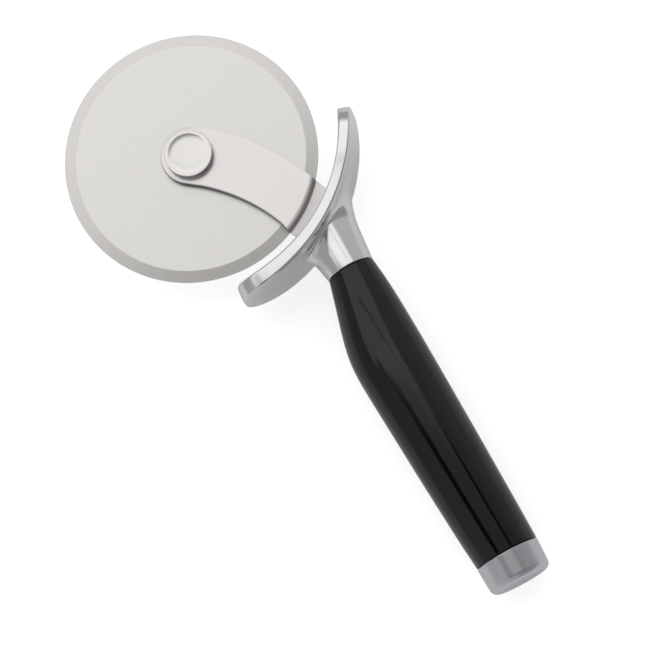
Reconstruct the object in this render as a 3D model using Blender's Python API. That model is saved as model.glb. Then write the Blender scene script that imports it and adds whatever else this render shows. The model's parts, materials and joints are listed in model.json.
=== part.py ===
"""A pizza cutter with a side arm, lying on its side as it does on a table.

The round blade turns on a short axle at the end of one stamped arm. The tang of that arm sits in
a casting that is finger guard, neck and ferrule in one. A tie rod screws into the casting, runs
through the moulded grip and takes a nut, which draws the grip up against the ferrule. A drawn cap
closes the end.

All lengths are in metres. In the handle's own frame X runs along the grip from the ferrule to the
end cap, Z is the axis of the blade, and the arm lies above the blade. The finished cutter is then
tilted a little, until guard and end cap both touch the table.
"""

import math

import bmesh
import bpy
from mathutils import Matrix, Vector

MM = 0.001

# Fits between the pieces
SEAT_GAP = 0.3 * MM
WASHER_GAP = 0.2 * MM
CUTTER_OVERRUN = 1.0 * MM
MERGE_DISTANCE = 0.001 * MM

# Blade: a flat disc, ground on both sides to a thin edge
WHEEL_RADIUS = 44.5 * MM
WHEEL_THICKNESS = 1.2 * MM
WHEEL_EDGE_THICKNESS = 0.24 * MM
WHEEL_BEVEL_WIDTH = 4.1 * MM
WHEEL_BEHIND_FERRULE = 62.6 * MM
WHEEL_BESIDE_HANDLE = 29.8 * MM

# Axle, its bushing and its washers
AXLE_RADIUS = 3.0 * MM
AXLE_HEAD_RADIUS = 7.0 * MM
AXLE_HEAD_THICKNESS = 1.8 * MM
AXLE_HEAD_EDGE = 0.7 * MM
AXLE_STANDS_IN_CAP = 1.3 * MM
BUSHING_WALL = 1.7 * MM
WASHER_THICKNESS = 0.5 * MM
WASHER_RADIUS = 7.4 * MM

# Hub cap: a low button with a dish in its face
HUB_CAP_BASE_RADIUS = 8.35 * MM
HUB_CAP_TOP_RADIUS = 8.1 * MM
HUB_CAP_HEIGHT = 3.4 * MM
HUB_CAP_EDGE_ROUND = 0.4 * MM
HUB_CAP_RIM_WIDTH = 1.1 * MM
HUB_CAP_DISH_DEPTH = 0.5 * MM
HUB_CAP_DISH_WALL_RUN = 0.8 * MM
HUB_CAP_DISH_CROWN = 0.12 * MM

# Arm: stamped sheet with a round hub end, a curved band and a step beside the blade's edge
ARM_THICKNESS = 1.6 * MM
ARM_HUB_RADIUS = 9.8 * MM
ARM_STEP_DROP = 1.8 * MM
ARM_STEP_STARTS_INSIDE_EDGE = 1.5 * MM
ARM_STEP_ENDS_OUTSIDE_EDGE = 0.5 * MM
ARM_STEP_LEAD = 0.3 * MM
ARM_RELIEF_STARTS_INSIDE_EDGE = 3.0 * MM
ARM_RELIEF_OVER_EDGE = 0.45 * MM
ARM_EDGE_CLEARANCE = 0.35 * MM
ARM_BAND_END_RADIUS = 44.6 * MM
ARM_LOWER_LEAVES_HUB = math.radians(-35)
ARM_LOWER_MEETS_STRIP = math.radians(23.6)
ARM_UPPER_LEAVES_HUB = math.radians(148)
ARM_UPPER_MEETS_STRIP = math.radians(49.8)
ARM_STRIP_DIRECTION = math.radians(24)
ARM_LOWER_ARRIVES = math.radians(16)
ARM_LOWER_HANDLES = (12.0 * MM, 14.0 * MM)
ARM_UPPER_HANDLES = (16.0 * MM, 16.0 * MM)
ARM_STRIP_LENGTH = 6.8 * MM

# Tail of the arm, inside the casting, and the pin through it
TANG_WIDTH = 7.0 * MM
TANG_STARTS_BEFORE_FERRULE = 15.0 * MM
TANG_PAST_FERRULE = 8.5 * MM
PIN_RADIUS = 1.5 * MM
PIN_PAST_FERRULE = 4.6 * MM

# Guard: a curved plate round the edge of the blade
GUARD_INNER_RADIUS = 61.2 * MM
GUARD_THICKNESS = 4.15 * MM
GUARD_HALF_LENGTH = 41.6 * MM
GUARD_HALF_DEPTH = 16.4 * MM
GUARD_SQUARENESS = 3.9
GUARD_LOWER_FAR_SQUARENESS = 2.8
GUARD_EDGE_ROUND = 0.8 * MM
GUARD_TURN = math.radians(30.7)
GUARD_BEFORE_FERRULE = 16.05 * MM
GUARD_SHIFT_ALONG_PLATE = 2.55 * MM
GUARD_END_SWELL = 0.3
GUARD_BACK_LEAN = 0.55 * MM

# Neck and ferrule, cast with the guard
FERRULE_RADIUS = 8.5 * MM
FERRULE_EDGE = 0.3 * MM
NECK_HALF_WIDTH_ON_GUARD = 12.6 * MM
NECK_CROWN_HALF_WIDTH_ON_GUARD = 9.9 * MM
NECK_HALF_DEPTH_ON_GUARD = 8.4 * MM
NECK_SHIFT_ON_GUARD = 0.8 * MM
NECK_CROWN_SHIFT_ON_GUARD = -0.6 * MM
NECK_SIDE_FILLET_SHARE = 0.5
NECK_FACE_FILLET_SHARE = 0.06
SPIGOT_RADIUS = 6.0 * MM
SPIGOT_LENGTH = 24.0 * MM
SPIGOT_CHAMFER = 0.6 * MM
ROD_THREAD_DEPTH = 12.0 * MM

# Tie rod, washer and nut
ROD_RADIUS = 2.5 * MM
ROD_CHAMFER = 0.4 * MM
ROD_PAST_NUT = 1.2 * MM
CLAMP_WASHER_RADIUS = 6.6 * MM
CLAMP_WASHER_THICKNESS = 1.0 * MM
NUT_ACROSS_FLATS = 8.0 * MM
NUT_THICKNESS = 4.0 * MM

# Grip: round at both ends, with a belly on the finger side
GRIP_LENGTH = 110.4 * MM
GRIP_BELLY = 6.35 * MM
GRIP_FULLNESS = 1.8 * MM
GRIP_EDGE_ROUND = 0.35 * MM
GRIP_REAR_SPIGOT_RADIUS = 9.4 * MM
GRIP_REAR_SPIGOT_LENGTH = 5.0 * MM
GRIP_NUT_WELL_DEPTH = 6.5 * MM
GRIP_LENGTH_SHARES = (0, 0.075, 0.15, 0.21, 0.265, 0.32, 0.40, 0.52, 0.66, 0.80, 0.92, 1)
GRIP_BACK_RISE_SHARES = (0, 0.32, 0.50, 0.59, 0.66, 0.71, 0.77, 0.84, 0.91, 0.96, 0.99, 1)
GRIP_BELLY_SHARES = (0, 0.31, 0.635, 0.86, 0.98, 0.99, 0.90, 0.735, 0.545, 0.34, 0.15, 0)

# End cap: a drawn cup over the end of the grip
END_CAP_RADIUS = 11.2 * MM
END_CAP_END_RADIUS = 10.9 * MM
END_CAP_LENGTH = 10.3 * MM
END_CAP_CORNER = 2.5 * MM
END_CAP_WALL = 1.4 * MM

# Facets
FINE_STEPS = 128
ROUND_STEPS = 56
SMALL_STEPS = 32
CORNER_STEPS = 4
CURVE_STEPS = 14
SMOOTH_ANGLE = math.radians(32)

# Heights over the middle plane of the blade
BLADE_FACE = WHEEL_THICKNESS / 2
WASHER_INNER_FACE = BLADE_FACE + WASHER_GAP
WASHER_OUTER_FACE = WASHER_INNER_FACE + WASHER_THICKNESS
ARM_UNDERSIDE = WASHER_OUTER_FACE + WASHER_GAP
ARM_TOP = ARM_UNDERSIDE + ARM_THICKNESS
STRIP_TOP = ARM_TOP - ARM_STEP_DROP
STRIP_UNDERSIDE = STRIP_TOP - ARM_THICKNESS
HUB_CAP_BASE = ARM_TOP + SEAT_GAP

# Places in the handle's frame
WHEEL_CENTRE = Vector((-WHEEL_BEHIND_FERRULE, -WHEEL_BESIDE_HANDLE, 0))
AXLE_HOLE_RADIUS = AXLE_RADIUS + SEAT_GAP
TANG_CORNER = Vector((TANG_PAST_FERRULE, TANG_WIDTH / 2))
ARM_SECTION_REACH = (TANG_CORNER - WHEEL_CENTRE.xy).length + CUTTER_OVERRUN
GUARD_OUTER_RADIUS = GUARD_INNER_RADIUS + GUARD_THICKNESS
GUARD_ARC_CENTRE = Vector((
    -GUARD_BEFORE_FERRULE - GUARD_OUTER_RADIUS * math.cos(GUARD_TURN),
    -GUARD_OUTER_RADIUS * math.sin(GUARD_TURN),
    0,
))
GRIP_END = GRIP_LENGTH
NUT_WELL_FLOOR = GRIP_END + GRIP_REAR_SPIGOT_LENGTH - GRIP_NUT_WELL_DEPTH
CLAMP_WASHER_PLACE = NUT_WELL_FLOOR + SEAT_GAP
NUT_PLACE = CLAMP_WASHER_PLACE + CLAMP_WASHER_THICKNESS + SEAT_GAP
ROD_START = SPIGOT_LENGTH - ROD_THREAD_DEPTH + SEAT_GAP
ROD_END = NUT_PLACE + NUT_THICKNESS + ROD_PAST_NUT
END_CAP_START = GRIP_END + SEAT_GAP


def empty_the_scene():
    """Start from a scene without objects."""
    for old in list(bpy.data.objects):
        bpy.data.objects.remove(old, do_unlink=True)


def finish(name, hex_colour, roughness, metallic):
    """Make a plain material from an sRGB hex colour."""
    made = bpy.data.materials.new(name)
    made.use_nodes = True
    shader = made.node_tree.nodes["Principled BSDF"]
    channels = [int(hex_colour[start:start + 2], 16) / 255 for start in (1, 3, 5)]
    linear = [
        value / 12.92 if value <= 0.04045 else ((value + 0.055) / 1.055) ** 2.4
        for value in channels
    ]
    shader.inputs["Base Color"].default_value = (*linear, 1)
    shader.inputs["Roughness"].default_value = roughness
    shader.inputs["Metallic"].default_value = metallic
    return made


def frame_empty(name, parent, location):
    """Add an empty that carries pieces."""
    carrier = bpy.data.objects.new(name, None)
    bpy.context.collection.objects.link(carrier)
    carrier.parent = parent
    carrier.location = location
    return carrier


def piece(name, shape, material, carrier):
    """Turn a finished shape into a named object on its carrier."""
    bmesh.ops.recalc_face_normals(shape, faces=shape.faces)
    mesh = bpy.data.meshes.new(name)
    shape.to_mesh(mesh)
    shape.free()
    mesh.shade_smooth()
    mesh.set_sharp_from_angle(angle=SMOOTH_ANGLE)
    made = bpy.data.objects.new(name, mesh)
    bpy.context.collection.objects.link(made)
    made.parent = carrier
    if material:
        made.data.materials.append(material)
    return made


def cut(target, tool, operation):
    """Work a hidden tool into a piece."""
    tool.hide_render = True
    tool.display_type = "WIRE"
    step = target.modifiers.new(tool.name, "BOOLEAN")
    step.operation = operation
    step.object = tool


def turned(profile, steps):
    """Turn (radius, height) points about Z. A profile that starts on the axis stays open there."""
    shape = bmesh.new()
    corners = [shape.verts.new((radius, 0, height)) for radius, height in profile]
    edges = [shape.edges.new(pair) for pair in zip(corners, corners[1:])]
    starts_on_axis = profile[0][0] == 0
    if not starts_on_axis:
        edges.append(shape.edges.new((corners[-1], corners[0])))
    bmesh.ops.spin(
        shape, geom=corners + edges, cent=(0, 0, 0), axis=(0, 0, 1),
        angle=2 * math.pi, steps=steps, use_merge=True,
    )
    if starts_on_axis:
        on_axis = [vertex for vertex in shape.verts if vertex.co.xy.length < MERGE_DISTANCE]
        bmesh.ops.remove_doubles(shape, verts=on_axis, dist=MERGE_DISTANCE)
    return shape


def rod_profile(radius, half_length):
    """Section of a plain round rod."""
    return [(0, -half_length), (radius, -half_length), (radius, half_length), (0, half_length)]


def along_handle(shape):
    """Lay a turned shape along the handle, its height becoming X."""
    bmesh.ops.transform(shape, matrix=Matrix.Rotation(math.pi / 2, 4, "Y"), verts=shape.verts)
    return shape


def tube_profile(inner, outer, low, high):
    """Section of a plain ring."""
    return [(inner, low), (outer, low), (outer, high), (inner, high)]


def loft(rings, closed=False, start=None, end=None):
    """Skin rings of equally many points, closed on itself or ended by faces or by points."""
    shape = bmesh.new()
    rows = [[shape.verts.new(point) for point in ring] for ring in rings]
    pairs = list(zip(rows, rows[1:]))
    if closed:
        pairs.append((rows[-1], rows[0]))
    for near, far in pairs:
        for index in range(len(near)):
            shape.faces.new((near[index - 1], near[index], far[index], far[index - 1]))
    if closed:
        return shape
    for row, point in ((rows[0], start), (rows[-1], end)):
        if point is None:
            shape.faces.new(row)
            continue
        tip = shape.verts.new(point)
        for index in range(len(row)):
            shape.faces.new((row[index - 1], row[index], tip))
    return shape


def prism(outline, low, high):
    """Extrude a flat outline upwards."""
    shape = bmesh.new()
    floor = shape.faces.new([shape.verts.new((x, y, low)) for x, y in outline])
    raised = bmesh.ops.extrude_face_region(shape, geom=[floor])["geom"]
    moved = [item for item in raised if isinstance(item, bmesh.types.BMVert)]
    bmesh.ops.translate(shape, verts=moved, vec=(0, 0, high - low))
    return shape


def arc_points(centre_radius, centre_height, size, start, end, count):
    """Points of a rounded corner in a turned profile, ends included."""
    angles = [start + (end - start) * index / count for index in range(count + 1)]
    return [
        (centre_radius + size * math.cos(angle), centre_height + size * math.sin(angle))
        for angle in angles
    ]


def polar(radius, angle):
    """A flat vector from its length and direction."""
    return Vector((radius * math.cos(angle), radius * math.sin(angle)))


def bezier(start, first, second, end, count):
    """Points of a cubic curve, without its start."""
    points = []
    for index in range(1, count + 1):
        t = index / count
        s = 1 - t
        points.append(start * s**3 + first * 3 * s * s * t + second * 3 * s * t * t + end * t**3)
    return points


def make_blade(material, carrier):
    """The disc, with a flat face out to the ground bevel and a bore for the bushing."""
    bore = AXLE_HOLE_RADIUS + BUSHING_WALL + SEAT_GAP
    bevel_start = WHEEL_RADIUS - WHEEL_BEVEL_WIDTH
    edge = WHEEL_EDGE_THICKNESS / 2
    profile = [
        (bore, -BLADE_FACE),
        (bevel_start, -BLADE_FACE),
        (WHEEL_RADIUS, -edge),
        (WHEEL_RADIUS, edge),
        (bevel_start, BLADE_FACE),
        (bore, BLADE_FACE),
    ]
    return piece("blade_wheel", turned(profile, FINE_STEPS), material, carrier)


def make_bushing(material, carrier):
    """The sleeve pressed into the blade, which runs on the axle."""
    outer = AXLE_HOLE_RADIUS + BUSHING_WALL
    profile = tube_profile(AXLE_HOLE_RADIUS, outer, -BLADE_FACE, BLADE_FACE)
    return piece("wheel_bushing", turned(profile, SMALL_STEPS), material, carrier)


def make_washer(name, low, high, material, carrier):
    """A flat washer round the axle."""
    profile = tube_profile(AXLE_HOLE_RADIUS, WASHER_RADIUS, low, high)
    return piece(name, turned(profile, SMALL_STEPS), material, carrier)


def make_axle(material, carrier):
    """The headed axle. Its head is behind the blade, and its end stands in the hub cap."""
    head_top = -WASHER_OUTER_FACE - WASHER_GAP
    head_bottom = head_top - AXLE_HEAD_THICKNESS
    end = HUB_CAP_BASE + AXLE_STANDS_IN_CAP
    corner = arc_points(
        AXLE_HEAD_RADIUS - AXLE_HEAD_EDGE, head_bottom + AXLE_HEAD_EDGE, AXLE_HEAD_EDGE,
        -math.pi / 2, 0, CORNER_STEPS,
    )
    profile = [(0, head_bottom), *corner, (AXLE_HEAD_RADIUS, head_top), (AXLE_RADIUS, head_top),
               (AXLE_RADIUS, end), (0, end)]
    return piece("axle_rivet", turned(profile, SMALL_STEPS), material, carrier)


def make_hub_cap(material, carrier):
    """The dished button over the end of the axle."""
    top = HUB_CAP_BASE + HUB_CAP_HEIGHT
    dish_edge = HUB_CAP_TOP_RADIUS - HUB_CAP_EDGE_ROUND - HUB_CAP_RIM_WIDTH
    dish_floor = top - HUB_CAP_DISH_DEPTH
    socket_floor = HUB_CAP_BASE + AXLE_STANDS_IN_CAP + SEAT_GAP
    outer_corner = arc_points(
        HUB_CAP_TOP_RADIUS - HUB_CAP_EDGE_ROUND, top - HUB_CAP_EDGE_ROUND, HUB_CAP_EDGE_ROUND,
        0, math.pi / 2, CORNER_STEPS,
    )
    profile = [
        (0, socket_floor),
        (AXLE_HOLE_RADIUS, socket_floor),
        (AXLE_HOLE_RADIUS, HUB_CAP_BASE),
        (HUB_CAP_BASE_RADIUS, HUB_CAP_BASE),
        *outer_corner,
        (dish_edge, top),
        (dish_edge - HUB_CAP_DISH_WALL_RUN, dish_floor + HUB_CAP_DISH_CROWN),
        (dish_edge - 2 * HUB_CAP_DISH_WALL_RUN, dish_floor),
        (0, dish_floor),
    ]
    return piece("hub_cap", turned(profile, ROUND_STEPS), material, carrier)


def arm_section():
    """Section of the sheet: flat over the blade, stepped down beside the blade's edge.

    The underside follows the ground bevel of the blade, so the step can start over the bevel.
    """
    step_start = WHEEL_RADIUS - ARM_STEP_STARTS_INSIDE_EDGE
    step_end = WHEEL_RADIUS + ARM_STEP_ENDS_OUTSIDE_EDGE
    relief_start = WHEEL_RADIUS - ARM_RELIEF_STARTS_INSIDE_EDGE
    clear_of_edge = WHEEL_RADIUS + ARM_EDGE_CLEARANCE
    step = []
    for index in range(CORNER_STEPS * 2 + 1):
        share = index / (CORNER_STEPS * 2)
        fall = (1 - math.cos(math.pi * share)) / 2
        step.append((
            step_start + (step_end - step_start) * share,
            ARM_TOP - ARM_STEP_DROP * fall,
        ))
    return [
        (AXLE_HOLE_RADIUS, ARM_UNDERSIDE),
        (relief_start, ARM_UNDERSIDE),
        (clear_of_edge, ARM_RELIEF_OVER_EDGE),
        (clear_of_edge, STRIP_UNDERSIDE),
        (ARM_SECTION_REACH, STRIP_UNDERSIDE),
        (ARM_SECTION_REACH, STRIP_TOP),
        (step_end + ARM_STEP_LEAD, STRIP_TOP),
        *reversed(step),
        (step_start - ARM_STEP_LEAD, ARM_TOP),
        (AXLE_HOLE_RADIUS, ARM_TOP),
    ]


def arm_outline():
    """Outline of the stamping, from the round hub end to the end of the tang."""
    hub = WHEEL_CENTRE.xy
    strip = polar(1, ARM_STRIP_DIRECTION)
    lower_start = hub + polar(ARM_HUB_RADIUS, ARM_LOWER_LEAVES_HUB)
    lower_end = hub + polar(ARM_BAND_END_RADIUS, ARM_LOWER_MEETS_STRIP)
    upper_start = hub + polar(ARM_HUB_RADIUS, ARM_UPPER_LEAVES_HUB)
    upper_end = hub + polar(ARM_BAND_END_RADIUS, ARM_UPPER_MEETS_STRIP)
    lower = bezier(
        lower_start,
        lower_start + polar(ARM_LOWER_HANDLES[0], ARM_LOWER_LEAVES_HUB + math.pi / 2),
        lower_end - polar(ARM_LOWER_HANDLES[1], ARM_LOWER_ARRIVES),
        lower_end, CURVE_STEPS,
    )
    upper = bezier(
        upper_end,
        upper_end - strip * ARM_UPPER_HANDLES[1],
        upper_start + polar(ARM_UPPER_HANDLES[0], ARM_UPPER_LEAVES_HUB - math.pi / 2),
        upper_start, CURVE_STEPS,
    )
    half_tang = TANG_WIDTH / 2
    tang = [
        lower_end + strip * ARM_STRIP_LENGTH,
        Vector((-TANG_STARTS_BEFORE_FERRULE, -half_tang)),
        Vector((TANG_PAST_FERRULE, -half_tang)),
        Vector((TANG_PAST_FERRULE, half_tang)),
        Vector((-TANG_STARTS_BEFORE_FERRULE, half_tang)),
        upper_end + strip * ARM_STRIP_LENGTH,
    ]
    turn = 2 * math.pi + ARM_LOWER_LEAVES_HUB - ARM_UPPER_LEAVES_HUB
    hub_steps = CURVE_STEPS * 2
    hub_end = [
        hub + polar(ARM_HUB_RADIUS, ARM_UPPER_LEAVES_HUB + turn * index / hub_steps)
        for index in range(1, hub_steps + 1)
    ]
    return lower + tang + upper + hub_end


def grown(outline, margin):
    """The outline moved outwards by a margin, with square corners kept."""
    grown_points = []
    for index, point in enumerate(outline):
        before = (point - outline[index - 1]).normalized()
        after = (outline[(index + 1) % len(outline)] - point).normalized()
        outwards_before = Vector((before.y, -before.x))
        outwards_after = Vector((after.y, -after.x))
        bisector = outwards_before + outwards_after
        grown_points.append(point + bisector * (margin / (1 + outwards_before.dot(outwards_after))))
    return grown_points


def make_arm(material, carrier):
    """The stepped sheet turned about the blade's axis, stamped out by the tall outline."""
    arm = piece("side_arm", turned(arm_section(), FINE_STEPS), material, carrier)
    arm.location = WHEEL_CENTRE
    tall = ARM_THICKNESS + ARM_STEP_DROP
    stamping = prism(arm_outline(), STRIP_UNDERSIDE - tall, ARM_TOP + tall)
    outline = piece("arm_outline_tool", stamping, None, carrier)
    cut(arm, outline, "INTERSECT")
    cut(arm, pin_hole_tool("tang_pin_hole_tool", carrier), "DIFFERENCE")
    return arm


def pin_hole_tool(name, carrier):
    """Round tool for the cross hole that takes the pin."""
    reach = SPIGOT_RADIUS + CUTTER_OVERRUN
    tool = piece(name, turned(rod_profile(PIN_RADIUS + SEAT_GAP, reach), SMALL_STEPS), None, carrier)
    tool.location.x = PIN_PAST_FERRULE
    return tool


def make_pin(material, carrier):
    """The pin that locks the tang in the casting, hidden under the grip."""
    end = SPIGOT_RADIUS - SPIGOT_CHAMFER
    pin = piece("tang_pin", turned(rod_profile(PIN_RADIUS, end), SMALL_STEPS), material, carrier)
    pin.location.x = PIN_PAST_FERRULE
    return pin


def on_guard(along, across, depth):
    """A point on the guard: along its arc and across it, sunk below its back.

    The plate is thicker towards both ends. Its back leans: on the arm's side it stands out at the
    lower end and is drawn in at the upper end.
    """
    angle = GUARD_TURN + along / GUARD_OUTER_RADIUS
    to_end = along / GUARD_HALF_LENGTH
    lean = GUARD_BACK_LEAN * to_end * (1 + across / GUARD_HALF_DEPTH) * (1 - depth / GUARD_THICKNESS)
    radius = GUARD_OUTER_RADIUS - depth * (1 + GUARD_END_SWELL * to_end**2) - lean
    flat = polar(radius, angle)
    return GUARD_ARC_CENTRE + Vector((flat.x, flat.y, across))


def guard_planform(angle, inset):
    """Edge of the guard's rounded, squarish planform, moved inwards by an inset.

    The corner at the lower end, on the side away from the arm, is rounder than the others.
    """
    side = math.cos(angle)
    face = math.sin(angle)
    lower_far = side < 0 and face < 0
    squareness = GUARD_LOWER_FAR_SQUARENESS if lower_far else GUARD_SQUARENESS
    reach = (abs(side) ** squareness + abs(face) ** squareness) ** (-1 / squareness)
    steepness = squareness - 1
    normal = Vector((
        math.copysign(abs(side) ** steepness, side) / GUARD_HALF_LENGTH,
        math.copysign(abs(face) ** steepness, face) / GUARD_HALF_DEPTH,
    )).normalized()
    return (
        GUARD_SHIFT_ALONG_PLATE + GUARD_HALF_LENGTH * reach * side - normal.x * inset,
        GUARD_HALF_DEPTH * reach * face - normal.y * inset,
    )


def neck_fillet(angle):
    """Start, control point and foot of the fillet from the neck to the back of the guard.

    The neck keeps the ferrule's round crown and widens at its sides only.
    """
    side = math.cos(angle)
    face = math.sin(angle)
    ferrule = Vector((-FERRULE_EDGE, FERRULE_RADIUS * side, FERRULE_RADIUS * face))
    widening = (NECK_HALF_WIDTH_ON_GUARD - NECK_CROWN_HALF_WIDTH_ON_GUARD) * side * side
    shift = NECK_SHIFT_ON_GUARD * side * side + NECK_CROWN_SHIFT_ON_GUARD * face * face
    root_along = shift + (NECK_CROWN_HALF_WIDTH_ON_GUARD + widening) * side
    root_across = NECK_HALF_DEPTH_ON_GUARD * face
    root = on_guard(root_along, root_across, 0)
    share = NECK_SIDE_FILLET_SHARE * side * side + NECK_FACE_FILLET_SHARE * face * face
    fillet = (root - ferrule).length * share
    foot_along = root_along + fillet * side
    foot = on_guard(foot_along, root_across + fillet * face, 0)
    foot_normal = polar(1, GUARD_TURN + foot_along / GUARD_OUTER_RADIUS).to_3d()
    reach = (foot - ferrule).dot(foot_normal) / (root - ferrule).dot(foot_normal)
    control = ferrule + (root - ferrule) * reach
    start = control + (ferrule - control) * share
    return ferrule, start, control, foot, (foot_along, root_across + fillet * face)


def round_ring(x, radius, angles):
    """A round ring across the handle."""
    return [Vector((x, radius * math.cos(angle), radius * math.sin(angle))) for angle in angles]


def casting_rings(angles):
    """Rings of the casting's skin, from the threaded hole to the middle of the guard's inside."""
    thread_radius = ROD_RADIUS + SEAT_GAP
    rings = [
        round_ring(SPIGOT_LENGTH - ROD_THREAD_DEPTH, thread_radius, angles),
        round_ring(SPIGOT_LENGTH, thread_radius, angles),
        round_ring(SPIGOT_LENGTH, SPIGOT_RADIUS - SPIGOT_CHAMFER, angles),
        round_ring(SPIGOT_LENGTH - SPIGOT_CHAMFER, SPIGOT_RADIUS, angles),
        round_ring(0, SPIGOT_RADIUS, angles),
        round_ring(0, FERRULE_RADIUS - FERRULE_EDGE, angles),
    ]
    fillets = [neck_fillet(angle) for angle in angles]
    for share in (0, 0.5):
        rings.append([ferrule.lerp(start, share) for ferrule, start, *_ in fillets])
    fillet_steps = CORNER_STEPS * 2
    for index in range(fillet_steps + 1):
        t = index / fillet_steps
        rings.append([
            start * (1 - t) ** 2 + control * 2 * t * (1 - t) + foot * t * t
            for _, start, control, foot, _ in fillets
        ])
    flat_edges = [guard_planform(angle, GUARD_EDGE_ROUND) for angle in angles]
    feet = [fillet[-1] for fillet in fillets]
    for index in range(1, CORNER_STEPS):
        share = index / CORNER_STEPS
        rings.append([
            on_guard(foot[0] + (edge[0] - foot[0]) * share, foot[1] + (edge[1] - foot[1]) * share, 0)
            for foot, edge in zip(feet, flat_edges)
        ])
    rings.extend(guard_rim_rings(angles))
    inside_steps = CORNER_STEPS * 2
    for index in range(1, inside_steps):
        share = 1 - index / inside_steps
        rings.append([
            on_guard(edge[0] * share, edge[1] * share, GUARD_THICKNESS) for edge in flat_edges
        ])
    return rings


def guard_rim_rings(angles):
    """Rings round the guard's rim, with both of its edges rounded."""
    rings = []
    for index in range(CORNER_STEPS + 1):
        turn = math.pi / 2 * index / CORNER_STEPS
        inset = GUARD_EDGE_ROUND * (1 - math.sin(turn))
        depth = GUARD_EDGE_ROUND * (1 - math.cos(turn))
        rings.append((inset, depth))
    rings += [(inset, GUARD_THICKNESS - depth) for inset, depth in reversed(rings)]
    return [
        [on_guard(*guard_planform(angle, inset), depth) for angle in angles]
        for inset, depth in rings
    ]


def make_casting(material, carrier):
    """Guard, neck, ferrule and spigot as one skin, with the slot and the pin hole cut in."""
    angles = [2 * math.pi * (index + 0.5) / ROUND_STEPS for index in range(ROUND_STEPS)]
    skin = loft(
        casting_rings(angles),
        start=(SPIGOT_LENGTH - ROD_THREAD_DEPTH, 0, 0),
        end=on_guard(0, 0, GUARD_THICKNESS),
    )
    casting = piece("guard_and_neck", skin, material, carrier)
    slot = piece(
        "tang_slot_tool",
        prism(grown(arm_outline(), SEAT_GAP), STRIP_UNDERSIDE - SEAT_GAP, STRIP_TOP + SEAT_GAP),
        None, carrier,
    )
    cut(casting, slot, "DIFFERENCE")
    cut(casting, pin_hole_tool("casting_pin_hole_tool", carrier), "DIFFERENCE")
    return casting


def between(values, positions, place):
    """A smooth curve through a row of values, read at one place."""
    last = len(positions) - 1
    index = min(max(sum(position <= place for position in positions) - 1, 0), last - 1)
    low, high = positions[index], positions[index + 1]
    t = (place - low) / (high - low)

    def slope(at):
        before, after = max(at - 1, 0), min(at + 1, last)
        return (values[after] - values[before]) / (positions[after] - positions[before])

    span = high - low
    return (
        values[index] * (2 * t**3 - 3 * t**2 + 1)
        + slope(index) * span * (t**3 - 2 * t**2 + t)
        + values[index + 1] * (3 * t**2 - 2 * t**3)
        + slope(index + 1) * span * (t**3 - t**2)
    )


def grip_ring(x, share, inset, angles):
    """One section of the grip: an ellipse beside the axis, round at the ferrule and at the cap."""
    rise = between(GRIP_BACK_RISE_SHARES, GRIP_LENGTH_SHARES, share)
    swell = between(GRIP_BELLY_SHARES, GRIP_LENGTH_SHARES, share)
    taper = END_CAP_RADIUS - FERRULE_RADIUS
    back = FERRULE_RADIUS + taper * rise - inset
    belly = FERRULE_RADIUS + taper * share + GRIP_BELLY * swell - inset
    depth = FERRULE_RADIUS + taper * rise + GRIP_FULLNESS * swell - inset
    middle = (back - belly) / 2
    half_width = (back + belly) / 2
    return [
        Vector((x, middle + half_width * math.cos(angle), depth * math.sin(angle)))
        for angle in angles
    ]


def make_grip(material, carrier):
    """The moulded grip, with its socket, rod bore and nut well, as one closed skin."""
    steps = SMALL_STEPS + SMALL_STEPS // 2
    angles = [2 * math.pi * index / steps for index in range(steps)]
    start = SEAT_GAP
    length = GRIP_END - start
    stations = CURVE_STEPS + CORNER_STEPS * 2
    rings = [grip_ring(start, 0, GRIP_EDGE_ROUND, angles)]
    for index in range(stations + 1):
        share = index / stations
        x = start + GRIP_EDGE_ROUND + (length - 2 * GRIP_EDGE_ROUND) * share
        rings.append(grip_ring(x, share, 0, angles))
    rings.append(grip_ring(GRIP_END, 1, GRIP_EDGE_ROUND, angles))
    spigot_end = GRIP_END + GRIP_REAR_SPIGOT_LENGTH
    well = CLAMP_WASHER_RADIUS + SEAT_GAP
    bore = ROD_RADIUS + SEAT_GAP
    socket = SPIGOT_RADIUS + SEAT_GAP
    socket_end = SPIGOT_LENGTH + SEAT_GAP
    inside = (
        (GRIP_END, GRIP_REAR_SPIGOT_RADIUS),
        (spigot_end, GRIP_REAR_SPIGOT_RADIUS),
        (spigot_end, well),
        (NUT_WELL_FLOOR, well),
        (NUT_WELL_FLOOR, bore),
        (socket_end, bore),
        (socket_end, socket),
        (start, socket),
    )
    rings += [round_ring(x, radius, angles) for x, radius in inside]
    return piece("handle_grip", loft(rings, closed=True), material, carrier)


def make_rod(material, carrier):
    """The tie rod from the casting to the nut."""
    tip = ROD_RADIUS - ROD_CHAMFER
    profile = [
        (0, ROD_START),
        (tip, ROD_START),
        (ROD_RADIUS, ROD_START + ROD_CHAMFER),
        (ROD_RADIUS, ROD_END - ROD_CHAMFER),
        (tip, ROD_END),
        (0, ROD_END),
    ]
    return piece("tie_rod", along_handle(turned(profile, SMALL_STEPS)), material, carrier)


def make_clamp_washer(material, carrier):
    """The washer under the nut."""
    high = CLAMP_WASHER_PLACE + CLAMP_WASHER_THICKNESS
    profile = tube_profile(ROD_RADIUS + SEAT_GAP, CLAMP_WASHER_RADIUS, CLAMP_WASHER_PLACE, high)
    return piece("clamp_washer", along_handle(turned(profile, SMALL_STEPS)), material, carrier)


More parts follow.
